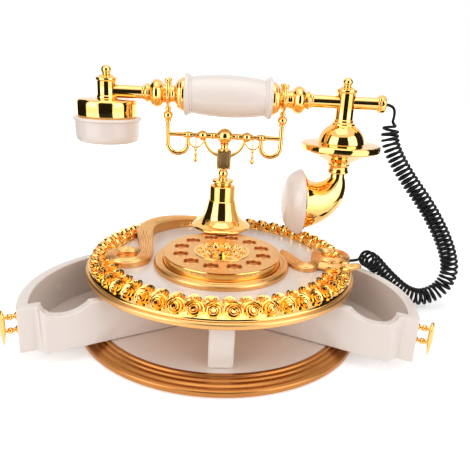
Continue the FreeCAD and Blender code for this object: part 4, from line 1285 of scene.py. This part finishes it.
studio = {
    "fill": 0.47,
    "floorHalf": 4000,
    "floorGlow": 0.42,          # near the object; white further out
    "glowRange": (0.30, 0.75),  # metres from the middle
    "target": (0, 0.02, 0.1),
    "boxes": [
        {"name": "leftBox", "place": (-0.94, -0.73, 0.56), "size": (0.9, 1.0), "power": 6.0},
        {"name": "rightBox", "place": (0.94, -0.73, 0.56), "size": (0.9, 1.0), "power": 5.6},
        {"name": "topBox", "place": (0.0, -0.1, 1.30), "size": (0.9, 0.9), "power": 3.4},
    ],
    "cards": [(-27, 27), (77, 126), (-134, -77)],       # dark, seen in reflections alone: degrees round
    "cardSteps": 8,
    "cardLine": [(400, 2), (1250, 2), (1250, 1300)],    # radius and height, from the object outwards
}
for box in studio["boxes"]:
    lamp = bpy.data.lights.new(box["name"], "AREA")
    lamp.shape = "RECTANGLE"
    lamp.size, lamp.size_y = box["size"]
    lamp.energy = box["power"]
    holder = placed(box["name"], lamp)
    holder.location = box["place"]
    holder.rotation_euler = (Vector(studio["target"]) - holder.location).to_track_quat("-Z", "Y").to_euler()
    holder.visible_camera = False


def seenRays(wire):
    rays = wire.tree.nodes.new("ShaderNodeLightPath").outputs
    seen = [Wire(wire.tree, rays[name]) for name in ("Is Camera Ray", "Is Glossy Ray", "Is Transmission Ray")]
    return wire.maths("MAXIMUM", wire.maths("MAXIMUM", seen[0], seen[1]), seen[2])


world = bpy.data.worlds.new("studio")
scene.world = world
world.use_nodes = True
sky = Wire(world.node_tree)
shown = seenRays(sky)
skyNode = world.node_tree.nodes["Background"]
skyNode.inputs["Color"].default_value = (1, 1, 1, 1)
sky.feed(skyNode.inputs["Strength"], shown * (1 - studio["fill"]) + studio["fill"])


# The floor glows for the rays that see it, and whiter further out
def glowingPaper():
    material = finish("floorPaper")
    tree = material.node_tree
    wire = Wire(tree)
    place = wire.node("ShaderNodeTexCoord", out=3)  # Object
    reach = wire.node("ShaderNodeVectorMath", {0: place}, out=1, operation="LENGTH")
    near, far = studio["glowRange"]
    glow = wire.node("ShaderNodeMapRange", {
        "Value": reach, "From Min": near, "From Max": far, "To Min": studio["floorGlow"], "To Max": 1.0,
    })
    seen = wire.mix(glow * seenRays(wire), (0, 0, 0, 1), (1, 1, 1, 1))
    sockets = tree.nodes["Principled BSDF"].inputs
    wire.feed(sockets["Emission Color"], seen)
    wire.feed(sockets["Emission Strength"], 1.0)
    return material


floorHalf = studio["floorHalf"]
floorShape = ([(sx * floorHalf, sy * floorHalf, 0) for sx, sy in corners], [[0, 1, 2, 3]])
floor = placed("floor", meshOf("floor", floorShape, glowingPaper()))


def cardShape(start, end):
    steps, line = studio["cardSteps"], studio["cardLine"]
    points, rows = [], []
    for k in range(steps + 1):
        angle = math.radians(-90 + start + (end - start) * k / steps)
        rows.append(range(len(points), len(points) + len(line)))
        points += [polar(radius, angle, height) for radius, height in line]
    return points, [face for low, high in zip(rows, rows[1:]) for face in between(low, high, False)]


cardBlack = finish("cardBlack")
for number, span in enumerate(studio["cards"]):
    card = placed(f"card{number}", meshOf(f"card{number}", cardShape(*span), cardBlack))
    card.visible_camera = card.visible_diffuse = card.visible_shadow = False

scene.view_settings.view_transform = "Standard"

print("scene ready")
